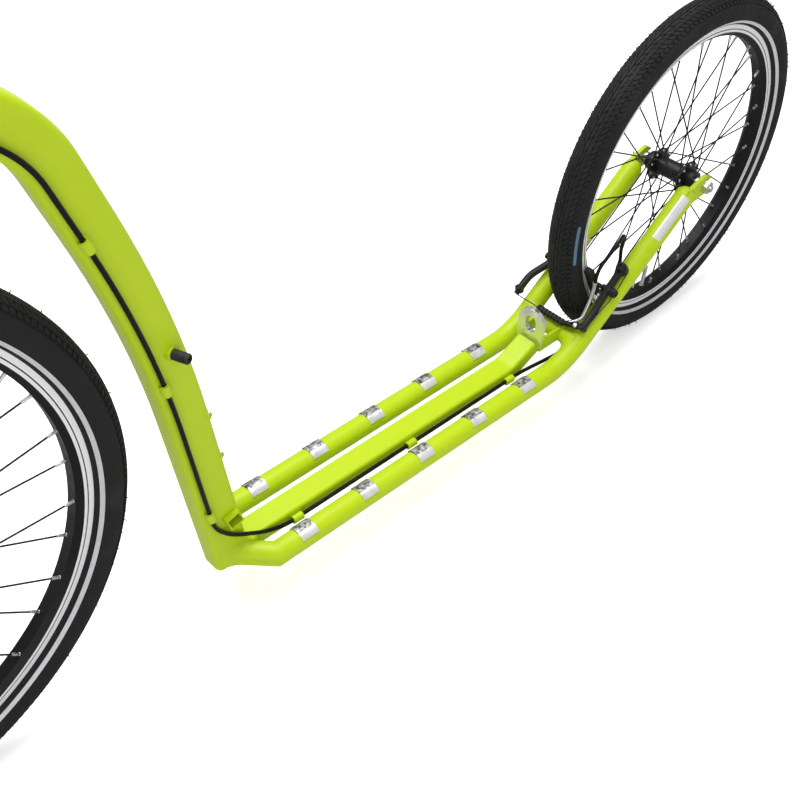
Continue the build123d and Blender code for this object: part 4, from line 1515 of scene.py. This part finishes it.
@dataclass
class RimBrake:
    """Fasteners, springs and noodle of one linear-pull brake; sizes in millimetres."""

    name: str
    body: Body
    carrier: Carrier
    wheel: Wheel
    skin: float
    lead: int
    arm_rise: float = 9.0
    track_mid: float = 7.5
    stud_to_track: float = 34.0
    arm_length: float = 95.0
    arm_half: float = 5.0
    half: float = 46.0
    flare: float = 18.0
    lead_flare: float = 4.0
    foot_r: float = 8.0
    link_reach: float = 8.0
    noodle_r: float = 2.9
    noodle_in: float = 24.0
    boot_length: float = 46.0
    wire_r: float = 0.8
    spring_r: float = 0.8
    noodle_route: tuple[Triple, ...] = (
        (-64.0, 26.0, -8.0), (-52.0, 12.0, -8.0), (-30.0, 0.0, -7.5), (-13.0, -2.0, -5.5), (0.0, 0.0, -24.0),
    )
    stud_head: float = 3.0
    stud_washer: Head = (7.6, 1.4)
    stud_bolt: Head = (5.6, 4.0)
    tip_bolt: Head = (4.2, 3.4)
    shoe_washer: Head = (7.0, 1.6)
    rivet_seat: Triple = (3.0, 3.4, -6.0)
    shoe_nut: Profile = ((5.4, 1.4), (5.4, 6.0), (4.8, 6.8), (2.4, 6.8), (2.2, 4.5))
    collar: Profile = ((3.4, -0.4), (3.4, 5.0), (3.0, 5.6), (2.6, 5.6))
    rivet: Profile = ((3.4, -1.0), (3.4, 1.0), (2.6, 1.9), (1.0, 2.2))

    @property
    def mid_up(self) -> float:
        """Height of the arms over the carrier's middle line."""
        return self.skin + self.arm_rise

    @property
    def track_s(self) -> float:
        """Place along the carrier where the shoes meet the rim's track.

        Returns:
            The distance from the carrier's start.
        """
        start = (self.carrier.at(0.0, self.mid_up) - self.wheel.axle) / MM
        lift, shift = start.dot(self.carrier.up), start.dot(self.carrier.way)
        return math.sqrt((self.wheel.rim_r - self.track_mid) ** 2 - lift ** 2) - shift

    def build(self, palette: Palette) -> list[bpy.types.Object]:
        """Build every piece in order.

        Args:
            palette: Finishes.

        Returns:
            The pieces.
        """
        return [self.build_bolts(palette), self.build_noodle(palette)]

    def build_bolts(self, palette: Palette) -> bpy.types.Object:
        """Fasteners and springs of both arms.

        Args:
            palette: Finishes.

        Returns:
            The joined fasteners and springs.
        """
        stud_s = self.track_s - self.stud_to_track
        tip_s = stud_s + self.arm_length
        top = self.mid_up + self.arm_half
        at, up = self.carrier.at, self.carrier.up
        shaper = Shaper()
        for side in BOTH:
            y = side * self.half
            tip_half = self.half + (self.lead_flare if side == self.lead else self.flare)
            out = Y_AXIS * side
            outer = at(self.track_s, self.mid_up, side * (self.half + self.foot_r))
            shaper.material = 0
            shaper.washer(at(stud_s, top, y), up, *self.stud_washer)
            shaper.bolt(at(stud_s, top + self.stud_head, y), up, *self.stud_bolt)
            shaper.lathe(outer, out, self.shoe_nut, hexed=(0, 1))
            shaper.bolt(at(tip_s, top, side * tip_half), up, *self.tip_bolt)
            shaper.material = 1
            shaper.washer(outer, out, *self.shoe_washer)
            spring = [
                at(stud_s + 2, self.mid_up - 2, y + side * 8.6),
                at(stud_s + 16, self.mid_up - 6.5, y + side * 8.0),
                at(self.track_s + 12, self.mid_up - 6.5, y + side * 9.5),
                at(tip_s - 26, self.mid_up - 3, side * (tip_half + 4.4)),
                at(tip_s - 14, self.mid_up - 1, side * (tip_half + 4.6)),
            ]
            shaper.tube(spring, self.spring_r, sides=8)
        metals = [palette.black_metal, palette.dark_steel]
        return shaper.piece(f"{self.name}_brake_bolts", self.body, Slot.BLACK_METAL, metals)

    def build_noodle(self, palette: Palette) -> bpy.types.Object:
        """Bent pipe with its end collar, rivet and inner wire, in place of the plain noodle.

        Args:
            palette: Finishes.

        Returns:
            The noodle.
        """
        tip_s = self.track_s - self.stud_to_track + self.arm_length
        wire_s = tip_s + self.link_reach
        at = self.carrier.at
        route = [
            at(wire_s + s, self.mid_up + up, self.lead * (self.half + y))
            for s, up, y in self.noodle_route
        ]
        shaper = Shaper()
        path = smooth_route(route)
        shaper.tube(path, self.noodle_r, sides=16)
        shaper.lathe(path[0], path[1] - path[0], self.collar, sides=20)
        along, rise, inward = self.rivet_seat
        seat = at(tip_s + along, self.mid_up + rise, self.lead * (self.half + inward))
        shaper.lathe(seat, self.carrier.up, self.rivet)
        shaper.material = 1
        inner, outer = self.half - self.noodle_in - self.boot_length, -self.half - self.flare
        ends = [at(wire_s, self.mid_up, self.lead * y) for y in (inner + 2, outer)]
        shaper.tube([ends[0], ends[0].lerp(ends[1], 0.5), ends[1]], self.wire_r, sides=8)
        name = f"{self.name}_brake_noodle"
        metals = [palette.steel, palette.dark_steel]
        noodle = shaper.piece(f"{name}_dressed", self.body, Slot.STEEL, metals)
        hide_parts(name)
        return noodle


@dataclass
class Cockpit:
    """Grips, bolts, cable loop and ferrule of the handlebar; sizes in millimetres."""

    steering: Carrier
    stem_top: float = 580.5
    stem_low: float = 540.5
    stem_r: float = 19.0
    stem_inset: float = 9.0
    stem_sink: float = 3.0
    stem_bolt_y: float = 10.0
    stem_reach: float = 70.0
    stem_rise: float = 30.0
    elbow: tuple[float, float] = (135.5, 60.0)
    bar_sweep: float = 8.0
    grip_start: float = 44.0
    grip_length: float = 125.0
    lever_start: float = 28.0
    lever_arm: float = 36.0
    lever_tilt: float = 30.0
    barrel_length: float = 22.5
    clamp_seat: Triple = (12.0, 13.0, 15.0)
    pin_rise: float = 5.6
    cap_bolt: Head = (6.0, 2.4)
    stem_bolt: Head = (3.6, 5.0)
    clamp_bolt: Head = (3.6, 6.0)
    pin_bolt: Head = (4.2, 2.2)
    grip_r: float = 14.6
    rib_height: float = 0.75
    rib_pitch: float = 5.2
    grip_swell: float = 0.7
    ribs_from: float = 9.0
    ribs_short: float = 12.0
    grip_collar: Profile = ((11.2, 0.0), (17.6, 0.0), (18.4, 0.8), (18.4, 4.2), (17.7, 5.0), (16.0, 6.5))
    grip_cap: Profile = ((15.2, -9.0), (16.0, -7.0), (16.0, 1.5), (15.0, 3.0), (3.0, 3.0))
    ferrule: Profile = ((3.9, -3.0), (3.9, 0.6), (3.4, 1.2), (3.4, 9.0), (3.0, 9.6), (2.6, 9.6))
    loop: tuple[Triple, ...] = (
        (482.18, 20.1, 604.77), (496.73, 20.1, 610.65), (527.65, 31.0, 638.24), (572.65, 26.0, 681.04),
        (583.47, -8.0, 731.88), (579.65, -52.0, 769.54), (571.92, -99.36, 849.82), (566.08, -140.95, 849.82),
    )

    @property
    def clamp_t(self) -> float:
        """Height of the bar's clamp up the steering axis."""
        return (self.stem_low + self.stem_top) / 2 + self.stem_rise

    def outward(self, side: int) -> Vector:
        """Direction of the bar's swept end on one side."""
        sweep = math.radians(self.bar_sweep)
        return Vector((-math.sin(sweep), side * math.cos(sweep), 0))

    def on_bar(self, out: float, side: int) -> Vector:
        """Point of the bar's swept end.

        Args:
            out: Distance from the elbow.
            side: 1 on the left, -1 on the right.

        Returns:
            The point in metres.
        """
        across, rise = self.elbow
        elbow = self.steering.at(self.clamp_t, self.stem_reach) + mm(0, side * across, rise)
        return elbow + self.outward(side) * (out * MM)

    def knuckle(self, side: int) -> Vector:
        """Middle of a lever's knuckle.

        Args:
            side: 1 on the left, -1 on the right.

        Returns:
            The point in metres.
        """
        tilt = math.radians(self.lever_tilt)
        arm = Vector((math.cos(tilt), 0, -math.sin(tilt))) * (self.lever_arm * MM)
        return self.on_bar(self.lever_start, side) + arm

    def build(self, palette: Palette) -> list[bpy.types.Object]:
        """Build every piece in order.

        Args:
            palette: Finishes.

        Returns:
            The pieces.
        """
        return [
            self.build_grips(palette), self.build_bolts(palette), self.build_loop(palette),
            self.build_ferrule(palette),
        ]

    def build_grips(self, palette: Palette) -> bpy.types.Object:
        """Ribbed rubber grips with a collar and a closed end.

        Args:
            palette: Finishes.

        Returns:
            Both grips, joined.
        """
        shaper = Shaper()
        length = self.grip_length
        for side in BOTH:
            foot = self.on_bar(self.grip_start, side)
            profile = list(self.grip_collar)
            at = self.ribs_from
            run = length - self.ribs_from - self.ribs_short
            while at < length - self.ribs_short:
                low = self.grip_r + self.grip_swell * math.sin(math.pi * (at - self.ribs_from) / run)
                high = low + self.rib_height
                profile += [(low, at), (high, at + 0.7), (high, at + 3.0), (low, at + 3.7)]
                at += self.rib_pitch
            profile += [(radius, length + past) for radius, past in self.grip_cap]
            shaper.lathe(foot, self.outward(side), profile, sides=48)
        grips = shaper.piece("grips_dressed", Body.STEERING, Slot.RUBBER, [palette.rubber], 40.0)
        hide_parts("grips")
        return grips

    def build_bolts(self, palette: Palette) -> bpy.types.Object:
        """Stem, top cap and lever bolts.

        Args:
            palette: Finishes.

        Returns:
            The joined bolts.
        """
        shaper = Shaper()
        at, axis, front = self.steering.at, self.steering.way, self.steering.up
        shaper.bolt(at(self.stem_top), axis, *self.cap_bolt)
        for t in (self.stem_low + self.stem_inset, self.stem_top - self.stem_inset):
            for side in BOTH:
                seat = at(t, self.stem_sink - self.stem_r, side * self.stem_bolt_y)
                shaper.bolt(seat, -front, *self.stem_bolt)
        above, ahead, beside = self.clamp_seat
        tilt = math.radians(self.lever_tilt)
        pin = Vector((math.sin(tilt), 0, math.cos(tilt)))
        for side in BOTH:
            for rise in BOTH:
                seat = at(self.clamp_t + rise * above, self.stem_reach + ahead, side * beside)
                shaper.bolt(seat, front, *self.clamp_bolt)
            shaper.bolt(self.knuckle(side) + pin * (self.pin_rise * MM), pin, *self.pin_bolt)
        return shaper.piece("cockpit_bolts", Body.STEERING, Slot.STEEL, [palette.steel])

    def build_loop(self, palette: Palette) -> bpy.types.Object:
        """Cable from the head's guide to the right lever.

        Args:
            palette: Finishes.

        Returns:
            The loop.
        """
        path = smooth_route([mm(*place) for place in self.loop])
        shaper = Shaper()
        shaper.tube(path, CABLE_R, sides=16)
        loop = shaper.free("rear_cable_loop_dressed", Slot.CABLE, [palette.cable])
        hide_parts("rear_cable_loop")
        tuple(path[0])
        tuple(path[-1])
        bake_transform(loop)
        return loop

    def build_ferrule(self, palette: Palette) -> bpy.types.Object:
        """Metal end of the cable housing at the lever barrel.

        Args:
            palette: Finishes.

        Returns:
            The ferrule.
        """
        shaper = Shaper()
        right = -1
        way = -self.outward(right)
        shaper.lathe(self.knuckle(right) + way * (self.barrel_length * MM), way, self.ferrule, sides=20)
        return shaper.piece("lever_ferrule", Body.STEERING, Slot.STEEL, [palette.steel])


@dataclass
class Studio:
    """Camera, floor and soft light."""

    place: Triple = (735.74, 727.63, 1011.77)
    yaw: float = -2.3646
    pitch: float = 0.7477
    roll: float = 0.0431
    lens: float = 52.03
    sensor: float = 36.0
    floor_z: float = -0.086
    floor_drop: float = 0.0005
    floor_side: float = 60.0
    paper: Colour = (0.93, 0.93, 0.93)
    # Floor colour seen only in glossy rays: a painted dimmer reflection.
    mirrored: Colour = (0.40, 0.40, 0.40)
    floor_clear: tuple[float, float] = (1.6, 5.0)
    floor_lift: float = 0.5
    world: float = 0.38
    backdrop: float = 0.95
    sky: Colour = (1.0, 1.0, 1.0)

    def build(self) -> None:
        """Set up everything round the object."""
        self._camera()
        self._floor()
        self._lights()
        bpy.context.scene.view_settings.view_transform = "Standard"

    def _camera(self) -> None:
        """Camera of the photograph, by its place and angles."""
        level_part = math.cos(self.pitch)
        ahead = Vector((
            math.cos(self.yaw) * level_part, math.sin(self.yaw) * level_part, -math.sin(self.pitch),
        ))
        level = ahead.cross(Vector((0, 0, 1))).normalized()
        above = level.cross(ahead)
        right = level * math.cos(self.roll) + above * math.sin(self.roll)
        top = above * math.cos(self.roll) - level * math.sin(self.roll)
        data = bpy.data.cameras.new("photo_camera")
        data.lens = self.lens
        data.sensor_width = self.sensor
        data.clip_end = 100.0
        camera = bpy.data.objects.new("photo_camera", data)
        axes = Matrix((right, top, -ahead)).transposed().to_4x4()
        camera.matrix_world = Matrix.Translation(mm(*self.place)) @ axes
        bpy.context.scene.collection.objects.link(camera)
        bpy.context.scene.camera = camera

    def _floor(self) -> None:
        """Pale floor under the wheels."""
        shaper = bmesh.new()
        bmesh.ops.create_grid(shaper, x_segments=2, y_segments=2, size=self.floor_side / 2)
        mesh = bpy.data.meshes.new("floor")
        shaper.to_mesh(mesh)
        shaper.free()
        floor = bpy.data.objects.new("floor", mesh)
        floor.location = (0, 0, self.floor_z - self.floor_drop)
        bpy.context.scene.collection.objects.link(floor)
        material = bpy.data.materials.new("floor_paper")
        material.use_nodes = True
        shader = material.node_tree.nodes["Principled BSDF"]
        tree = Tree(material.node_tree)
        ray = tree.add("LightPath").outputs
        # The floor is darker in glossy rays: a painted dimmer reflection of the floor on the bike's lower
        # faces.
        paper = tree.mix(ray["Is Glossy Ray"], (*self.paper, 1.0), (*self.mirrored, 1.0))
        tree.tree.links.new(paper, shader.inputs["Base Color"])
        place = tree.add("TexCoord").outputs["Object"]
        away = tree.add("VectorMath", {0: place}, operation="LENGTH").outputs["Value"]
        far = tree.span(away, *self.floor_clear, 0.0, 0.7)
        near = tree.math("MULTIPLY", ray["Is Camera Ray"], self.floor_lift)
        tree.tree.links.new(tree.math("MAXIMUM", far, near), shader.inputs["Emission Color"])
        shader.inputs["Emission Strength"].default_value = 1.0
        shader.inputs["Roughness"].default_value = 0.9
        shader.inputs["Specular IOR Level"].default_value = 0.1
        mesh.materials.append(material)

    def _lights(self) -> None:
        """Bright sky and large soft boxes."""
        world = bpy.data.worlds.new("studio")
        world.use_nodes = True
        back = world.node_tree.nodes["Background"]
        back.inputs["Color"].default_value = (*self.sky, 1.0)
        tree = Tree(world.node_tree)
        height = tree.add("SeparateXYZ", {0: tree.add("TexCoord").outputs["Generated"]}).outputs[2]
        glow = tree.span(height, -0.1, 0.8, self.world * 0.55, self.world * 1.45)
        seen = tree.add("LightPath").outputs["Is Camera Ray"]
        pale = tree.math("MULTIPLY", seen, self.backdrop)
        tree.tree.links.new(tree.math("MAXIMUM", glow, pale), back.inputs["Strength"])
        bpy.context.scene.world = world
        boxes = (
            # name, place, aim, side and power
            ("top_box", (0.0, -0.5, 2.6), (0.0, 0.0, 0.0), 2.2, 74.0),
            ("left_box", (1.2, 2.2, 1.2), (0.1, 0.0, 0.1), 1.6, 9.0),
            ("low_box", (1.9, 1.5, 0.35), (0.2, 0.0, 0.0), 1.0, 5.0),
        )
        for name, place, aim, side, power in boxes:
            data = bpy.data.lights.new(name, "AREA")
            data.size = side
            data.energy = power
            light = bpy.data.objects.new(name, data)
            light.location = place
            light.rotation_euler = (Vector(aim) - Vector(place)).to_track_quat("-Z", "Y").to_euler()
            bpy.context.scene.collection.objects.link(light)


def main() -> None:
    """Load the solids, dress them, report each piece and set the studio."""
    logging.basicConfig(level=logging.INFO, format="%(name)s %(message)s")
    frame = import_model()
    solids = Solids(frame)
    layout = Layout(solids)
    palette = Palette()
    front = Wheel(
        "front", Body.FRONT_WHEEL, solids.axle("front_wheel_spin"), rim_r=284.0, stripe_rise=4.6, hairs=110,
    )
    rear = Wheel(
        "rear", Body.REAR_WHEEL, solids.axle("rear_wheel_spin"), rim_r=209.0, stripe_rise=4.8,
        mark=(-10.0, 5.0, 68.0, 80.0),
    )
    chassis = Chassis(layout)
    rear_brake = RimBrake("rear", Body.FRAME, layout.stays, rear, skin=chassis.tube_half, lead=1)
    front_brake = RimBrake("front", Body.STEERING, layout.legs, front, skin=layout.leg_half, lead=-1)
    own = {f"{wheel.name}_rim": palette.make(wheel.rim_finish()) for wheel in (front, rear)}
    own["grip_pads_left"] = own["grip_pads_right"] = palette.foil
    solids.dress(palette, own)
    chassis.paint_cheeks(palette)
    for assembly in (front, rear, chassis, rear_brake, front_brake, Cockpit(layout.steering)):
        for piece in assembly.build(palette):
            LOG.info("%s: %d faces", piece.name, len(piece.data.polygons))
    Studio().build()


if __name__ == "__main__":
    main()
